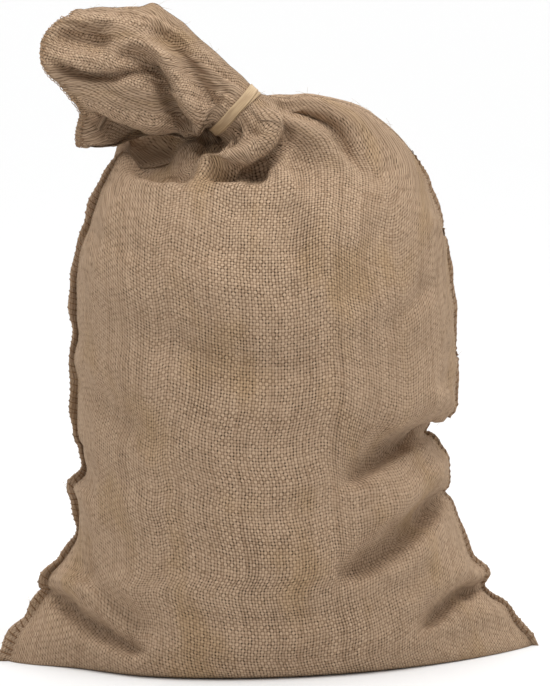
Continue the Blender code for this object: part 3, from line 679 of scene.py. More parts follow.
def seam_frame(grid, where, base_rows, band_at, col):
    """Along one seam: its line, the way the allowance stands out, its width."""
    rows = len(grid)
    e = grid[:, col]
    smooth = e.copy()
    for _ in range(3):
        smooth[1:-1] = (smooth[:-2] + 2 * smooth[1:-1] + smooth[2:]) / 4
    t = np.gradient(smooth, axis=0)
    t[:base_rows + 2] = t[base_rows + 2]
    t /= np.linalg.norm(t, axis=1, keepdims=True)
    w = np.array((0.0, 1.0, 0.0))
    sgn = -1.0 if col == 0 else 1.0
    d = np.cross(t, w)
    d /= np.linalg.norm(d, axis=1, keepdims=True)
    flip = d @ np.array((sgn, 0, 0.6)) < 0
    d[flip] *= -1
    d[:base_rows + 1] = (sgn, 0, 0)
    for k in range(1, 5):
        f = k / 5
        d[base_rows + k] = np.array((sgn, 0, 0)) * (1 - f) + d[base_rows + k] * f
        d[base_rows + k] /= np.linalg.norm(d[base_rows + k])
    lift = np.clip((e[:, 2] - 40) / 50.0, 0, 1)
    turn = np.radians(-14 if col == 0 else 62) * lift
    q = where
    ear = np.exp(-((e[:, 2] - 34) / 26.0) ** 2) * (1.0 if col == 0 else 0.4)
    turn = turn + ear * (0.35 + 0.35 * np.sin(where / 7.5)) + lift * (0.30 * np.sin(q / 19.0 + col) + 0.22 * np.sin(q / 8.7 + 2.0 * col))
    d = d * np.cos(turn)[:, None] + w * np.sin(turn)[:, None]
    away = band_at - where
    size = np.clip((away - 84) / 34, 0, 1)
    size = size * size * (3 - 2 * size)
    low = np.clip(1 - e[:, 2] / 90.0, 0, 1)
    h = FLANGE_OUT[0 if col == 0 else 1] * size * (0.88 + 0.16 * np.sin(q / 14.0 + col) + 0.10 * np.sin(q / 5.1)
                                                   + (0.75 if col == 0 else 0.2) * low)
    side = np.cross(d, t)
    side /= np.linalg.norm(side, axis=1, keepdims=True)
    side[side @ w < 0] *= -1
    return e, d, side, h, size


def with_flanges(grid, where, base_rows, band_at):
    """The two seam columns become the section of the seam allowance."""
    rows, n, _ = grid.shape
    strips = {}
    for col in (0, n // 2):
        e, d, side, h, size = seam_frame(grid, where, base_rows, band_at, col)
        k = np.ones(rows)
        k[:base_rows] = np.arange(base_rows) / base_rows
        strip = []
        for out, across in FLANGE_SECTION:
            half = (0.5 + (FLANGE_HALF - 0.5) * np.maximum(size, 0.0)) * k
            spread = 1.0 + 0.35 * size * (out > 0.8)
            strip.append(e + d * (h * out)[:, None] + side * (half * across * spread)[:, None])
        strips[col] = np.array(strip).transpose(1, 0, 2)
    left, right = strips[0][:, ::-1], strips[n // 2]
    half = n // 2
    full = np.concatenate([left, grid[:, 1:half], right, grid[:, half + 1:]], axis=1)
    # cloth coordinate across, in mm, for each column
    m = len(FLANGE_SECTION)
    outs = np.array([o for o, _ in FLANGE_SECTION]) * FLANGE_WIDTH
    step = 1000.0 / n
    u_left = np.where(np.arange(m) < m // 2, 1000.0 + outs[::-1], -outs[::-1])
    u_right = np.where(np.arange(m) < m // 2, 500.0 + outs, 500.0 + outs + (FLANGE_WIDTH - outs) * 0)
    u = np.concatenate([u_left, np.arange(1, half) * step, u_right, np.arange(half + 1, n) * step])
    return full, u, m


def cloth_lengths(full, base_rows):
    """Length along every column from the fold in the base, in mm."""
    step = np.linalg.norm(np.diff(full, axis=0), axis=2)
    for _ in range(6):
        step = (np.roll(step, 1, 1) + 2 * step + np.roll(step, -1, 1)) / 4
    return np.vstack([np.zeros(full.shape[1]), np.cumsum(step, axis=0)])


def add_uv(mesh, name, values):
    layer = mesh.uv_layers.new(name=name)
    layer.data.foreach_set("uv", np.asarray(values, np.float32).ravel())


def grid_piece(name, grid, uv, wraps, merge_first=False, caps=(False, False)):
    """A tube of rings as a closed mesh. uv: rows x columns x 2, in mm. wraps: the
    columns where a cloth edge lies, so the threads start again there."""
    rows, n, _ = grid.shape
    index = np.arange(rows * n).reshape(rows, n)
    verts = grid.reshape(-1, 3)
    if merge_first:                 # the fold: front and back share their points
        m = len(FLANGE_SECTION)
        for j in range(n):
            mirror = (m - 1 - j) % n
            if mirror < j:
                index[0, j] = index[0, mirror]
    a, b = index[:-1, :], np.roll(index[:-1], -1, 1)
    c, d = np.roll(index[1:], -1, 1), index[1:, :]
    quads = np.stack([a, b, c, d], -1).reshape(-1, 4)
    ua, ub = uv[:-1], np.roll(uv[:-1], -1, 1).copy()
    uc, ud = np.roll(uv[1:], -1, 1).copy(), uv[1:]
    for j in wraps:
        ub[:, j] = ua[:, j] + (1.2, 0)
        uc[:, j] = ud[:, j] + (1.2, 0)
    corners = np.stack([ua, ub, uc, ud], 2).reshape(-1, 4, 2)
    jj, rr = np.meshgrid(np.arange(n), np.arange(rows - 1))
    flat = np.stack([np.stack([(jj + dj) / n, (rr + dr) / rows * 0.96 + 0.02], -1)
                     for dj, dr in ((0, 0), (1, 0), (1, 1), (0, 1))], 2).reshape(-1, 4, 2)
    keep = ~((quads[:, 0] == quads[:, 1]) | (quads[:, 1] == quads[:, 2]) | (quads[:, 0] == quads[:, 3]))
    faces = quads[keep].tolist()
    corners = corners[keep].reshape(-1, 2).tolist()
    flat = flat[keep].reshape(-1, 2).tolist()
    verts = verts.tolist()
    for end, wanted in zip((0, rows - 1), caps):
        if not wanted:
            continue
        centre = len(verts)
        verts.append(grid[end].mean(0).tolist())
        v = 0.005 if end == 0 else 0.99
        for j in range(n):
            p, q = int(index[end, j]), int(index[end, (j + 1) % n])
            tri = [centre, q, p] if end == 0 else [centre, p, q]
            faces.append(tri)
            base = uv[end, j]
            corners += [[base[0], base[1]], [base[0] + 1.0, base[1]], [base[0], base[1] + 1.0]]
            flat += [[(j + 0.5) / n, v], [(j + 0.9) / n, v + 0.004], [(j + 0.1) / n, v + 0.004]]
    used = sorted({i for f in faces for i in f})
    again = {old: new for new, old in enumerate(used)}
    mesh = bpy.data.meshes.new(name)
    mesh.from_pydata(((np.array([verts[i] for i in used]) + SHIFT) * MM).tolist(), [],
                     [[again[i] for i in f] for f in faces])
    mesh.update()
    add_uv(mesh, "cloth", corners)
    add_uv(mesh, "OFBake", flat)
    mesh.shade_smooth()
    obj = bpy.data.objects.new(name, mesh)
    bpy.context.scene.collection.objects.link(obj)
    if outward(obj) < 0:
        mesh.flip_normals()
    return obj


def outward(obj):
    import bmesh
    bm = bmesh.new()
    bm.from_mesh(obj.data)
    v = bm.calc_volume(signed=True)
    bm.free()
    return v


grid, where, ang, base_rows, band_index = fine_grid()
band_at = where[band_index]
full, u_cols, fl = with_flanges(grid, where, base_rows, band_at)
rows, n, _ = full.shape
plain = with_flanges(build_rings(COLUMNS, ROW_STEP, NECK_STEP)[0], where, base_rows, band_at)[0]
lengths = 0.25 * cloth_lengths(plain, base_rows) + 0.75 * cloth_lengths(full, base_rows)

# Threads are counted along every section from the middle of the front, and from the
# middle of the back; the two meet in the seam allowances.
m = fl
front_cols = np.arange(m // 2, m + (grid.shape[1] // 2 - 1) + m // 2)
back_cols = np.arange(front_cols[-1] + 1, front_cols[-1] + 1 + m + (n - len(front_cols) - m)) % n
uv = np.zeros((rows, n, 2))
for cols, middle in ((front_cols, 250.0), (back_cols, 750.0)):
    arc = 0.0
    for shape, turns, part_of in ((plain, 4, 0.35), (full, 24, 0.65)):
        seg = np.linalg.norm(np.diff(shape[:, cols], axis=1), axis=2)
        one = np.concatenate([np.zeros((rows, 1)), np.cumsum(seg, axis=1)], axis=1)
        one -= one[:, len(cols) // 2][:, None]
        for part in (slice(0, band_index), slice(band_index, rows)):
            block = one[part].copy()
            for _ in range(turns):
                block[1:-1] = (block[:-2] + 2 * block[1:-1] + block[2:]) / 4
            one[part] = block
        arc = arc + one * part_of
    uv[:, cols, 0] = middle + arc
uv[..., 1] = lengths
# the underside keeps the threads of the edge of the base
uv[:base_rows, :, 0] = uv[base_rows, :, 0]

cut = band_index
wrap = (fl // 2 - 1, int(front_cols[-1]))
body = grid_piece("sack-body", full[:cut + 1], uv[:cut + 1], wrap, merge_first=True, caps=(False, True))

# ------------------------------------------------------------------ the mouth
outer = full[cut:]
uvm = uv[cut:]
whm = where[cut:]
nrm = grid_normals(outer)
throat = np.array(NECK_CENTRE) + 34 * np.array(NECK_AXIS)
first_in = int(np.searchsorted(whm, band_at + 70))
inner, uvi = [], []
# rolled lip: the hem of the mouth
for k in range(1, 4):
    a = math.pi * k / 4
    r = CLOTH / 2
    up = outer[-1] - outer[-2]
    up /= np.linalg.norm(up, axis=1, keepdims=True)
    inner.append(outer[-1] - nrm[-1] * r * (1 - math.cos(a)) + up * r * math.sin(a))
    uvi.append(uvm[-1] + (0, r * a))
for r in range(len(outer) - 1, first_in - 1, -1):
    deep = (whm[-1] - whm[r]) / (whm[-1] - whm[first_in])
    thin = outer[r] - nrm[r] * CLOTH
    for _ in range(2):
        thin = (np.roll(thin, 1, 0) + 2 * thin + np.roll(thin, -1, 0)) / 4
    c = outer[r].mean(0)
    pull = 0.07 + 0.36 * min(1.0, deep / 0.5) ** 1.2 + 0.14 * deep
    shrunk = c + (outer[r] - c) * (1 - pull)
    f = np.clip((deep - 0.12) / 0.35, 0, 1)
    f = f * f * (3 - 2 * f)
    inner.append(thin * (1 - f) + shrunk * f)
    uvi.append(uvm[r] * (1, -1) + (0, 2 * uvm[-1, 0, 1] + 8))
end = inner[-1]
for k in (0.25, 0.5, 0.72, 0.88, 0.97):
    c = end.mean(0) * (1 - k) + throat * k
    inner.append(c + (end - end.mean(0)) * (1 - k) * 0.9)
    uvi.append(uvi[-1] + (0, -6))
mouth_grid = np.concatenate([outer, np.array(inner)])
mouth_uv = np.concatenate([uvm, np.array(uvi)])
mouth = grid_piece("sack-mouth", mouth_grid, mouth_uv, wrap, caps=(True, True))

print("pieces", len(body.data.polygons) * 2, len(mouth.data.polygons) * 2)

# -------------------------------------------------------------------- the band
def make_band():
    m = 220
    verts, faces = [], []
    axis, across = np.array(NECK_AXIS), np.array(NECK_ACROSS)
    front = np.array((0.0, -1.0, 0.0))
    centre = np.array(NECK_CENTRE)
    half = BAND_WIDTH / 2
    prof_n = None
    for i in range(m):
        a = 2 * math.pi * i / m
        out = math.cos(a) * across + math.sin(a) * front
        slip = 0.55 + 2.4 * max(0.0, math.cos(a - 0.25)) ** 4 + 0.25 * math.sin(3 * a + 1)
        wav = 0.28 * math.sin(2 * a + 0.7) + 0.16 * math.sin(5 * a)
        r0 = NECK_R + 0.15 + 0.10 * math.sin(7 * a)
        th = 1.25
        profile = [(-half - slip - 0.4, 0.0), (-half - slip - 0.5, 0.6), (-half - slip - 0.3, 1.1),
                   (-half - 0.75, 1.15), (-half - 0.45, 0.2), (-half - 0.1, 0.2), (-half - 0.1, 1.20),
                   (-half + 0.35, 1.30 + 0.25), (-half + 1.2, 1.30 + 0.30),
                   (-1.2, 1.42), (1.2, 1.40), (half - 1.2, 1.58), (half - 0.35, 1.52),
                   (half + 0.02, 1.20), (half + 0.08, 0.7), (half, 0.0)]
        for u, r in profile:
            verts.append(centre + axis * (u + wav) + out * (r0 + r))
        prof_n = len(profile)
    for i in range(m):
        i2 = (i + 1) % m
        for k in range(prof_n):
            k2 = (k + 1) % prof_n
            faces.append([i * prof_n + k, i * prof_n + k2, i2 * prof_n + k2, i2 * prof_n + k])
    mesh = bpy.data.meshes.new("neck-band")
    mesh.from_pydata(((np.array(verts) + SHIFT) * MM).tolist(), [], faces)
    mesh.update()
    us = []
    for i in range(m):
        for k in range(prof_n):
            for di, dk in ((0, 0), (0, 1), (1, 1), (1, 0)):
                us.append(((i + di) / m * 172.0, (k + dk) / prof_n * 12.0))
    add_uv(mesh, "cloth", us)
    mesh.shade_smooth()
    obj = bpy.data.objects.new("neck-band", mesh)
    bpy.context.scene.collection.objects.link(obj)
    if outward(obj) < 0:
        mesh.flip_normals()
    return obj


band = make_band()


# ------------------------------------------------------------- tubes of yarn
def tubes(name, paths, radii, sides=5):
    """Many closed tubes along short paths, as one mesh."""
    verts, faces = [], []
    for path, radius in zip(paths, radii):
        p = np.asarray(path, float)
        k = len(p)
        t = np.gradient(p, axis=0)
        t /= np.maximum(np.linalg.norm(t, axis=1, keepdims=True), 1e-9)
        ref = np.array((0.0, 0.0, 1.0)) if abs(t[0, 2]) < 0.8 else np.array((1.0, 0.0, 0.0))
        a = np.cross(t, ref)
        a /= np.maximum(np.linalg.norm(a, axis=1, keepdims=True), 1e-9)
        b = np.cross(t, a)
        rad = np.broadcast_to(radius, (k,))
        start = len(verts)
        for i in range(k):
            for s in range(sides):
                q = 2 * math.pi * s / sides
                verts.append(p[i] + rad[i] * (math.cos(q) * a[i] + math.sin(q) * b[i]))
        for i in range(k - 1):
            for s in range(sides):
                s2 = (s + 1) % sides
                faces.append([start + i * sides + s, start + i * sides + s2,
                              start + (i + 1) * sides + s2, start + (i + 1) * sides + s])
        faces.append([start + s for s in range(sides)][::-1])
        faces.append([start + (k - 1) * sides + s for s in range(sides)])
    mesh = bpy.data.meshes.new(name)
    mesh.from_pydata(((np.array(verts) + SHIFT) * MM).tolist(), [], faces)
    mesh.update()
    mesh.shade_smooth()
    obj = bpy.data.objects.new(name, mesh)
    bpy.context.scene.collection.objects.link(obj)
    if outward(obj) < 0:
        mesh.flip_normals()
    return obj


def seam_yarn(name, col, seed):
    """Yarn whipped over the seam allowance, a turn every few threads."""
    rng = np.random.default_rng(seed)
    e, d, side, h, size = seam_frame(grid, where, base_rows, band_at, col)
    keep = np.arange(base_rows + 1, len(e))
    keep = keep[size[keep] > 0.12]
    length = np.concatenate([[0], np.cumsum(np.linalg.norm(np.diff(e[keep], axis=0), axis=1))])
    pts, at = [], 3.0
    total = length[-1]

    def sample(q, arr):
        return np.array([np.interp(q, length, arr[keep][:, i]) for i in range(3)])

    # one continuous spiral: up the front, over the edge, down the back
    path = []
    while at < total - 2:
        pitch = 5.6 + rng.normal() * 1.1
        for f, out, acr in ((0.0, 0.05, -1.0), (0.18, 0.55, -1.25), (0.36, 0.94, -0.9),
                            (0.5, 1.02, 0.0), (0.64, 0.94, 0.9), (0.82, 0.55, 1.25), (0.95, 0.05, 1.0)):
            q = at + pitch * f
            hh = float(np.interp(q, length, h[keep]))
            o = sample(q, e) + sample(q, d) * (hh * out * (1 + 0.04 * rng.normal())) \
                + sample(q, side) * (acr * (FLANGE_HALF * 1.25 + 0.2))
            path.append(o)
        at += pitch
    path = np.array(path)
    # smooth it through a curve, two points for every point of the path
    fine = []
    for i in range(len(path) - 1):
        p0, p1, p2, p3 = path[max(i - 1, 0)], path[i], path[i + 1], path[min(i + 2, len(path) - 1)]
        for k in range(2):
            u = k / 2
            fine.append(0.5 * (2 * p1 + (p2 - p0) * u + (2 * p0 - 5 * p1 + 4 * p2 - p3) * u * u
                               + (3 * p1 - p0 - 3 * p2 + p3) * u ** 3))
    fine = np.array(fine)
    rad = 0.44 + 0.14 * np.sin(np.arange(len(fine)) * 0.9) * rng.random(len(fine))
    return tubes(name, [fine], [rad], 6)


def hem_yarn(name, seed):
    """Yarn whipped over the edge of the mouth."""
    rng = np.random.default_rng(seed)
    g = grid
    nr = grid_normals(g)
    edge = g[-1]
    back = g[-4]
    count = edge.shape[0]
    seg = np.linalg.norm(np.roll(edge, -1, 0) - edge, axis=1)
    length = np.concatenate([[0], np.cumsum(seg)])
    idx = np.arange(count + 1) % count
    out_dir = edge - back
    out_dir /= np.maximum(np.linalg.norm(out_dir, axis=1, keepdims=True), 1e-9)

    def sample(q, arr):
        return np.array([np.interp(q, length, arr[idx][:, i]) for i in range(3)])

    path, at = [], 2.0
    while at < length[-1] - 4:
        pitch = 4.2 + rng.normal() * 0.7
        for f, out, acr in ((0.0, -5.5, 1.5), (0.2, -2.0, 2.1), (0.4, 0.4, 0.4), (0.55, 0.3, -2.2),
                            (0.75, -2.0, -3.4), (0.95, -5.0, -2.9)):
            q = at + pitch * f
            path.append(sample(q, edge) + sample(q, out_dir) * (out * (1 + 0.08 * rng.normal()))
                        + sample(q, nr[-1]) * acr)
        at += pitch
    return tubes(name, [np.array(path)], [0.36 + 0.1 * rng.random(len(path))], 5)


yarn_hem = hem_yarn("hem-yarn", 8)
yarn_left = seam_yarn("seam-yarn-left", 0, 5)
yarn_right = seam_yarn("seam-yarn-right", n and grid.shape[1] // 2, 6)


# ------------------------------------------------------------- loose fibres
def fibres(name, count, seed):
    rng = np.random.default_rng(seed)
    g = full
    nr = grid_normals(g)
    rr, cc = g.shape[:2]
    lo = base_rows + 3
    paths, radii = [], []
    area = np.linalg.norm(np.roll(g, -1, 1) - g, axis=2)[:-1] * np.linalg.norm(np.diff(g, axis=0), axis=2)
    area[:lo] = 0
    area[np.abs(where[:-1] - band_at) < 7] = 0
    p = area.ravel() / area.sum()
    pick = rng.choice(len(p), count, p=p)
    for idx in pick:
        r, c = divmod(int(idx), cc)
        base = g[r, c] + (g[r, (c + 1) % cc] - g[r, c]) * rng.random()
        nn = nr[r, c]
        t = g[r + 1, c] - g[r, c]
        t /= max(np.linalg.norm(t), 1e-9)
        s = np.cross(nn, t)
        turn = rng.choice([0, math.pi / 2, math.pi, 1.5 * math.pi]) + rng.normal() * 0.5
        along = math.cos(turn) * t + math.sin(turn) * s
        length = 2.5 + rng.gamma(2.0, 1.6)
        lift = 0.10 + 0.55 * rng.random() ** 2.2
        curl = rng.normal() * 0.25
        side = np.cross(nn, along)
        k = 4
        path = []
        for i in range(k):
            f = i / (k - 1)
            path.append(base - nn * 0.15 + along * length * f + nn * (length * lift * f * (1.15 - 0.45 * f))
                        + side * curl * length * f * f)
        if min(q[2] for q in path) < 0.3:
            continue
        paths.append(path)
        radii.append(np.linspace(0.13, 0.05, k) * (0.7 + 0.7 * rng.random()))
    return tubes(name, paths, radii, 3)


fuzz = fibres("loose-fibres", 5200, 21)

# ------------------------------------------------------------------ materials
class Nodes:
    def __init__(self, name):
        self.mat = bpy.data.materials.new(name)
        self.mat.use_nodes = True
        self.tree = self.mat.node_tree
        self.bsdf = self.tree.nodes["Principled BSDF"]

    def new(self, kind, **settings):
        node = self.tree.nodes.new(kind)
        for k, v in settings.items():
            setattr(node, k, v)
        return node

    def put(self, socket, value):
        if isinstance(value, bpy.types.NodeSocket):
            self.tree.links.new(value, socket)
        else:
            socket.default_value = value

    def math(self, op, a, b=0.0, c=0.0, clamp=False):
        node = self.new("ShaderNodeMath", operation=op, use_clamp=clamp)
        for s, v in zip(node.inputs, (a, b, c)):
            self.put(s, v)
        return node.outputs[0]

    def combine(self, x, y, z=0.0):
        node = self.new("ShaderNodeCombineXYZ")
        for s, v in zip(node.inputs, (x, y, z)):
            self.put(s, v)
        return node.outputs[0]

    def noise(self, vector, scale, detail=2.0, rough=0.5, dims="3D"):
        node = self.new("ShaderNodeTexNoise", noise_dimensions=dims)
        self.put(node.inputs["Vector"], vector)
        node.inputs["Scale"].default_value = scale
        node.inputs["Detail"].default_value = detail
        node.inputs["Roughness"].default_value = rough
        return node.outputs["Fac"]

    def white(self, value):
        node = self.new("ShaderNodeTexWhiteNoise", noise_dimensions="1D")
        self.put(node.inputs["W"], value)
        return node.outputs["Value"]

    def white2(self, x, y):
        node = self.new("ShaderNodeTexWhiteNoise", noise_dimensions="2D")
        self.put(node.inputs["Vector"], self.combine(x, y))
        return node.outputs["Value"]

    def mix(self, fac, a, b, blend="MIX"):
        node = self.new("ShaderNodeMix", data_type="RGBA", blend_type=blend)
        self.put(node.inputs[0], fac)
        self.put(node.inputs[6], a)
        self.put(node.inputs[7], b)
        return node.outputs[2]

    def ramp(self, value, lo, hi, to_lo=0.0, to_hi=1.0, kind="SMOOTHSTEP"):
        node = self.new("ShaderNodeMapRange", interpolation_type=kind, clamp=True) if kind != "LINEAR" \
            else self.new("ShaderNodeMapRange", clamp=True)
        self.put(node.inputs["Value"], value)
        for name, v in (("From Min", lo), ("From Max", hi), ("To Min", to_lo), ("To Max", to_hi)):
            node.inputs[name].default_value = v
        return node.outputs["Result"]


def rgba(r, g, b):
    """8-bit sRGB to linear."""
    def lin(c):
        c = c / 255
        return c / 12.92 if c <= 0.04045 else ((c + 0.055) / 1.055) ** 2.4
    return (lin(r), lin(g), lin(b), 1.0)


def burlap(name, light, mid, dark, gap_shade_and_speck):
    """Plain weave of uneven jute yarns, drawn in the cloth's own coordinates, with painted shade in the dips and gaps
    of the weave and towards the side seams.
    """
    N = Nodes(name)
    m = N.math
    uvn = N.new("ShaderNodeUVMap", uv_map="cloth")
    sep = N.new("ShaderNodeSeparateXYZ")
    N.tree.links.new(uvn.outputs["UV"], sep.inputs[0])
    U, V = sep.outputs[0], sep.outputs[1]
    cloth = N.combine(U, V)
    cloth2 = N.combine(m("ADD", U, 531.0), V)
    # the yarns wander a little
    wu = N.noise(cloth, 0.022, 2.0)
    wv = N.noise(cloth2, 0.022, 2.0)
    wu2 = N.noise(cloth, 0.13, 1.0)
    wv2 = N.noise(cloth2, 0.13, 1.0)
    Uw = m("ADD", m("ADD", U, m("MULTIPLY", m("SUBTRACT", wu, 0.5), 4.0)), m("MULTIPLY", m("SUBTRACT", wu2, 0.5), 1.3))
    Vw = m("ADD", m("ADD", V, m("MULTIPLY", m("SUBTRACT", wv, 0.5), 4.0)), m("MULTIPLY", m("SUBTRACT", wv2, 0.5), 1.3))
    a = m("DIVIDE", Uw, PITCH)
    b = m("DIVIDE", Vw, PITCH)
    ia, ib = m("FLOOR", a), m("FLOOR", b)
    ra, rb = N.white(ia), N.white(m("ADD", ib, 977.3))
    fa = m("SUBTRACT", m("SUBTRACT", a, ia), m("ADD", 0.44, m("MULTIPLY", N.white(m("ADD", ia, 71.7)), 0.12)))
    fb = m("SUBTRACT", m("SUBTRACT", b, ib), m("ADD", 0.44, m("MULTIPLY", N.white(m("ADD", ib, 313.1)), 0.12)))
    slub_a = N.noise(N.combine(m("MULTIPLY", ia, 3.7), m("MULTIPLY", V, 0.06)), 1.0, 2.0, 0.6)
    slub_b = N.noise(N.combine(m("MULTIPLY", U, 0.06), m("MULTIPLY", ib, 3.7)), 1.0, 2.0, 0.6)
    loose = N.noise(N.combine(m("MULTIPLY", U, 0.020), m("MULTIPLY", V, 0.0085), 9.0), 1.0, 2.0, 0.6)
    broad0 = N.noise(N.combine(m("MULTIPLY", U, 0.012), m("MULTIPLY", V, 0.012), 21.0), 1.0, 2.0, 0.5)
    # side: 0 at the middle of the front and of the back, 1 towards the side seams; it brings painted shade to the sides
    # and softens the painted shade of the weave there
    side = N.ramp(m("ADD", m("ABSOLUTE", m("SUBTRACT", m("MODULO", U, 500.0), 250.0)), m("MULTIPLY", m("SUBTRACT", broad0, 0.5), 170.0)), 30.0, 165.0)
    loose = m("SUBTRACT", loose, m("MULTIPLY", side, 0.10))
    quiet = m("SUBTRACT", 1.0, m("MULTIPLY", side, 0.34))
    thin = m("MULTIPLY", N.ramp(loose, 0.46, 0.68), -0.10)
    wa = m("ADD", m("ADD", m("ADD", 0.355, m("MULTIPLY", ra, 0.11)), m("MULTIPLY", slub_a, 0.20)), thin)
    wb = m("ADD", m("ADD", m("ADD", 0.400, m("MULTIPLY", rb, 0.11)), m("MULTIPLY", slub_b, 0.20)), thin)
    par = m("MODULO", m("ADD", m("ADD", ia, ib), 20000.0), 2.0)
    s = m("SUBTRACT", 1.0, m("MULTIPLY", m("ROUND", par), 2.0))
    ca = m("COSINE", m("MULTIPLY", fa, math.pi))
    cb = m("COSINE", m("MULTIPLY", fb, math.pi))
    pa = m("SQRT", m("MAXIMUM", m("SUBTRACT", 1.0, m("POWER", m("ABSOLUTE", m("DIVIDE", fa, wa)), 2.0)), 0.0))
    pb = m("SQRT", m("MAXIMUM", m("SUBTRACT", 1.0, m("POWER", m("ABSOLUTE", m("DIVIDE", fb, wb)), 2.0)), 0.0))
    ha = m("ADD", m("MULTIPLY", m("MULTIPLY", s, cb), 0.60), pa)
    hb = m("ADD", m("MULTIPLY", m("MULTIPLY", s, ca), -0.60), pb)
    ina, inb = m("GREATER_THAN", pa, 0.001), m("GREATER_THAN", pb, 0.001)
    ha = m("SUBTRACT", m("MULTIPLY", m("ADD", ha, 1.0), ina), 1.0)
    hb = m("SUBTRACT", m("MULTIPLY", m("ADD", hb, 1.0), inb), 1.0)
    top = m("MAXIMUM", ha, hb)
    warp_up = m("GREATER_THAN", ha, hb)
    weft_up = m("SUBTRACT", 1.0, warp_up)
    # fibres lying along each yarn
    strand_a = N.noise(N.combine(m("MULTIPLY", Uw, 2.6), m("MULTIPLY", Vw, 0.7)), 1.0, 2.0, 0.6)
    strand_b = N.noise(N.combine(m("MULTIPLY", Uw, 0.7), m("MULTIPLY", Vw, 2.6)), 1.0, 2.0, 0.6)
    strand = m("ADD", m("MULTIPLY", strand_a, warp_up), m("MULTIPLY", strand_b, weft_up))
    tone = m("ADD", m("MULTIPLY", m("ADD", ra, slub_a), warp_up), m("MULTIPLY", m("ADD", rb, slub_b), weft_up))
    cell = N.white2(ia, ib)
    broad = N.noise(cloth, 0.010, 3.0, 0.6)
    patch = N.noise(cloth2, 0.05, 2.0, 0.6)
    streak = N.noise(N.combine(m("MULTIPLY", U, 0.16), m("MULTIPLY", V, 0.0045)), 1.0, 3.0, 0.7)
    v = m("ADD", m("MULTIPLY", tone, 0.16), m("MULTIPLY", strand, 0.34))
    v = m("ADD", v, m("MULTIPLY", cell, 0.07))
    v = m("ADD", v, m("MULTIPLY", patch, 0.15))
    v = m("ADD", v, m("MULTIPLY", streak, 0.26))
    v = m("ADD", v, m("MULTIPLY", broad, 0.14))
    f = N.ramp(v, 0.34, 0.74)
    col = N.mix(f, mid, light)
    gold = N.ramp(N.noise(N.combine(m("MULTIPLY", U, 0.02), m("MULTIPLY", V, 0.011), 4.0), 1.0, 2.0), 0.50, 0.72, 0.0, 0.45)
    col = N.mix(gold, col, GOLD)
    # painted shade in the weave: darker towards the edges of the yarns and where they dip, almost black between them
    low = m("ADD", top, m("MULTIPLY", weft_up, -0.38))
    low = m("ADD", low, m("MULTIPLY", m("SUBTRACT", cell, 0.5), 0.22))
    col = N.mix(m("MULTIPLY", N.ramp(low, 0.30, 1.58, 0.86, 0.0), quiet), col, dark)
    # the gaps at the corners of the weave: some shut, some open, open ones in files; the open ones are painted with the
    # shade of the inside of the sack
    ja, jb = m("FLOOR", m("ADD", a, 0.5)), m("FLOOR", m("ADD", b, 0.5))
    open_one = m("ADD", m("MULTIPLY", N.white2(m("ADD", ja, 0.31), m("ADD", jb, 0.17)), 0.45),
                 m("MULTIPLY", N.noise(N.combine(m("MULTIPLY", ja, 5.3), m("MULTIPLY", V, 0.07)), 1.0, 1.0, 0.5), 0.80))
    gap = N.ramp(m("ADD", m("ABSOLUTE", m("SUBTRACT", m("SUBTRACT", a, ja), 0.0)),
                   m("MULTIPLY", m("ABSOLUTE", m("SUBTRACT", m("SUBTRACT", b, jb), 0.0)), 0.8)), 0.14, 0.42, 1.0, 0.0)
    gap = m("MULTIPLY", m("MULTIPLY", gap, N.ramp(open_one, 0.52, 0.88, 0.0, 0.95)), quiet)
    col = N.mix(gap, col, gap_shade_and_speck)
    # painted shade between the yarns, where neither yarn lies
    col = N.mix(m("MULTIPLY", N.ramp(top, -0.85, 0.05, 0.80, 0.0), quiet), col, gap_shade_and_speck)
    # painted shade towards the side seams, where the sack turns away from the light
    col = N.mix(m("MULTIPLY", side, 0.20), col, dark)
    # seed specks and slivers of bark
    speck = N.noise(cloth, 0.35, 1.0, 0.5)
    col = N.mix(N.ramp(speck, 0.76, 0.80, 0.0, 0.7), col, gap_shade_and_speck)
    N.put(N.bsdf.inputs["Base Color"], col)
    bump = N.new("ShaderNodeBump")
    bump.inputs["Strength"].default_value = 1.0
    bump.inputs["Distance"].default_value = 0.00040
    hgt = m("ADD", m("MAXIMUM", top, -0.5), m("MULTIPLY", strand, 0.5))
    N.put(bump.inputs["Height"], hgt)
    N.put(N.bsdf.inputs["Normal"], bump.outputs["Normal"])
    N.bsdf.inputs["Roughness"].default_value = 0.92
    N.bsdf.inputs["Specular IOR Level"].default_value = 0.15
    N.bsdf.inputs["Sheen Weight"].default_value = 0.08
    N.bsdf.inputs["Sheen Roughness"].default_value = 0.5
    N.bsdf.inputs["Sheen Tint"].default_value = rgba(230, 208, 176)
    return N.mat


def yarn_material(name, light, dark):
    N = Nodes(name)
    tc = N.new("ShaderNodeTexCoord")
    n1 = N.noise(tc.outputs["Object"], 900.0, 3.0, 0.6)
    n2 = N.noise(tc.outputs["Object"], 60.0, 2.0, 0.6)
    col = N.mix(N.ramp(N.math("ADD", N.math("MULTIPLY", n1, 0.55), N.math("MULTIPLY", n2, 0.45)), 0.36, 0.66), dark, light)
    N.put(N.bsdf.inputs["Base Color"], col)
    bump = N.new("ShaderNodeBump")
    bump.inputs["Strength"].default_value = 0.8
    bump.inputs["Distance"].default_value = 0.0003
    N.put(bump.inputs["Height"], n1)
    N.put(N.bsdf.inputs["Normal"], bump.outputs["Normal"])
    N.bsdf.inputs["Roughness"].default_value = 0.95
    N.bsdf.inputs["Specular IOR Level"].default_value = 0.15
    return N.mat


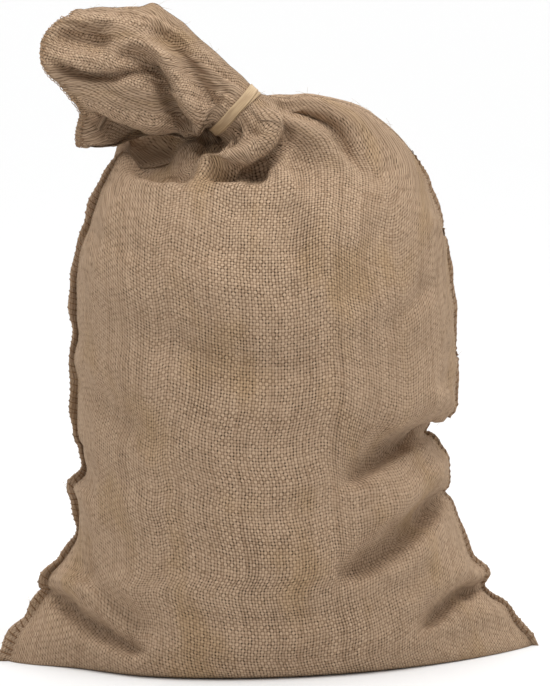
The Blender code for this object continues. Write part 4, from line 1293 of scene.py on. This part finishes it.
def elastic_material(name):
    N = Nodes(name)
    m = N.math
    uvn = N.new("ShaderNodeUVMap", uv_map="cloth")
    sep = N.new("ShaderNodeSeparateXYZ")
    N.tree.links.new(uvn.outputs["UV"], sep.inputs[0])
    U, V = sep.outputs[0], sep.outputs[1]
    grain = N.noise(N.combine(m("MULTIPLY", U, 0.06), m("MULTIPLY", V, 2.2)), 1.0, 3.0, 0.6)
    blot = N.noise(N.combine(m("MULTIPLY", U, 0.03), V), 1.0, 2.0, 0.5)
    speck = N.noise(N.combine(U, V), 3.0, 2.0, 0.6)
    f = N.ramp(m("ADD", m("MULTIPLY", grain, 0.55), m("MULTIPLY", blot, 0.45)), 0.35, 0.68)
    col = N.mix(f, rgba(158, 131, 98), rgba(196, 170, 134))
    col = N.mix(N.ramp(speck, 0.62, 0.75, 0.0, 0.25), col, rgba(132, 104, 74))
    N.put(N.bsdf.inputs["Base Color"], col)
    bump = N.new("ShaderNodeBump")
    bump.inputs["Strength"].default_value = 0.5
    bump.inputs["Distance"].default_value = 0.0002
    N.put(bump.inputs["Height"], m("ADD", grain, m("MULTIPLY", speck, 0.4)))
    N.put(N.bsdf.inputs["Normal"], bump.outputs["Normal"])
    N.bsdf.inputs["Roughness"].default_value = 0.55
    N.bsdf.inputs["Specular IOR Level"].default_value = 0.4
    return N.mat


LIGHT = rgba(192, 165, 138)
MID = rgba(157, 129, 103)
# painted shade colour for the dips and edges of the yarns and for the sides
WEAVE_AND_SIDE_SHADE = rgba(104, 81, 60)
# painted shade colour for the gaps and the space between the yarns, also the colour of the seed specks and bark
GAP_SHADE_AND_SPECK = rgba(50, 36, 23)
GOLD = rgba(172, 141, 99)
cloth_mat = burlap("burlap-cloth", LIGHT, MID, WEAVE_AND_SIDE_SHADE, GAP_SHADE_AND_SPECK)
for o in (body, mouth):
    o.data.materials.append(cloth_mat)
yarn_mat = yarn_material("seam-yarn", rgba(150, 118, 88), rgba(104, 75, 51))
for o in (yarn_left, yarn_right):
    o.data.materials.append(yarn_mat)
yarn_hem.data.materials.append(yarn_material("hem-yarn", rgba(196, 166, 134), rgba(146, 114, 84)))
fuzz.data.materials.append(yarn_material("loose-fibre", rgba(205, 180, 148), rgba(160, 132, 102)))
band.data.materials.append(elastic_material("elastic"))

# ---------------------------------------------------------- what stands for what
for o in (body, mouth, yarn_left, yarn_right, yarn_hem, fuzz, band):
    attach(o, "root")
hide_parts("sack")
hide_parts("sack")
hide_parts("sack")
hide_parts("sack")
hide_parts("sack")
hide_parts("sack")
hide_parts("band")

# ------------------------------------------------------ floor, light and camera
scene = bpy.context.scene
floor_mesh = bpy.data.meshes.new("floor")
floor_mesh.from_pydata([(-30, -30, 0), (30, -30, 0), (30, 30, 0), (-30, 30, 0)], [], [(0, 1, 2, 3)])
floor = bpy.data.objects.new("floor", floor_mesh)
floor.location.z = -0.0002
scene.collection.objects.link(floor)
fm = bpy.data.materials.new("floor")
fm.use_nodes = True
fm.node_tree.nodes["Principled BSDF"].inputs["Base Color"].default_value = (0.82, 0.82, 0.82, 1)
fm.node_tree.nodes["Principled BSDF"].inputs["Roughness"].default_value = 0.9
floor_mesh.materials.append(fm)

world = bpy.data.worlds.new("studio")
world.use_nodes = True
wt = world.node_tree
coord = wt.nodes.new("ShaderNodeTexCoord")
wsep = wt.nodes.new("ShaderNodeSeparateXYZ")
wt.links.new(coord.outputs["Generated"], wsep.inputs[0])


def world_ramp(socket, lo, hi):
    node = wt.nodes.new("ShaderNodeMapRange")
    node.clamp = True
    wt.links.new(socket, node.inputs["Value"])
    node.inputs["From Min"].default_value = lo
    node.inputs["From Max"].default_value = hi
    return node.outputs["Result"]


behind = world_ramp(wsep.outputs[1], -0.30, 0.05)
above = world_ramp(wsep.outputs[2], 0.25, 0.80)
biggest = wt.nodes.new("ShaderNodeMath")
biggest.operation = "MAXIMUM"
wt.links.new(behind, biggest.inputs[0])
wt.links.new(above, biggest.inputs[1])
level = wt.nodes.new("ShaderNodeMapRange")
wt.links.new(biggest.outputs[0], level.inputs["Value"])
level.inputs["To Min"].default_value = 0.14
level.inputs["To Max"].default_value = 1.36
wt.nodes["Background"].inputs["Color"].default_value = (1.0, 1.0, 1.0, 1)
wt.links.new(level.outputs["Result"], wt.nodes["Background"].inputs["Strength"])
scene.world = world


def area_light(name, place, target, size, power, colour=(1, 1, 1)):
    data = bpy.data.lights.new(name, "AREA")
    data.shape = "DISK"
    data.size = size
    data.energy = power
    data.color = colour
    o = bpy.data.objects.new(name, data)
    o.location = place
    o.rotation_mode = "QUATERNION"
    o.rotation_quaternion = (Vector(target) - Vector(place)).to_track_quat("-Z", "Y")
    scene.collection.objects.link(o)
    return o


area_light("key", (0.26, -0.62, 2.1), (0.02, 0, 0.45), 1.1, 18.5)

cam_data = bpy.data.cameras.new("camera")
cam = bpy.data.objects.new("camera", cam_data)
scene.collection.objects.link(cam)
ELEV = math.radians(7.0)
DIST = 3.5
target = Vector((0.0056 - 0.004, 0.0015, 0.2919))
cam.location = target + Vector((0, -math.cos(ELEV), math.sin(ELEV))) * DIST
cam.rotation_mode = "QUATERNION"
cam.rotation_quaternion = (target - cam.location).to_track_quat("-Z", "Y")
cam_data.sensor_width = 36
cam_data.lens = 3780.0 / 686 * 36
cam_data.clip_start, cam_data.clip_end = 0.1, 100
scene.camera = cam
scene.view_settings.view_transform = "Standard"

bpy.context.view_layer.update()
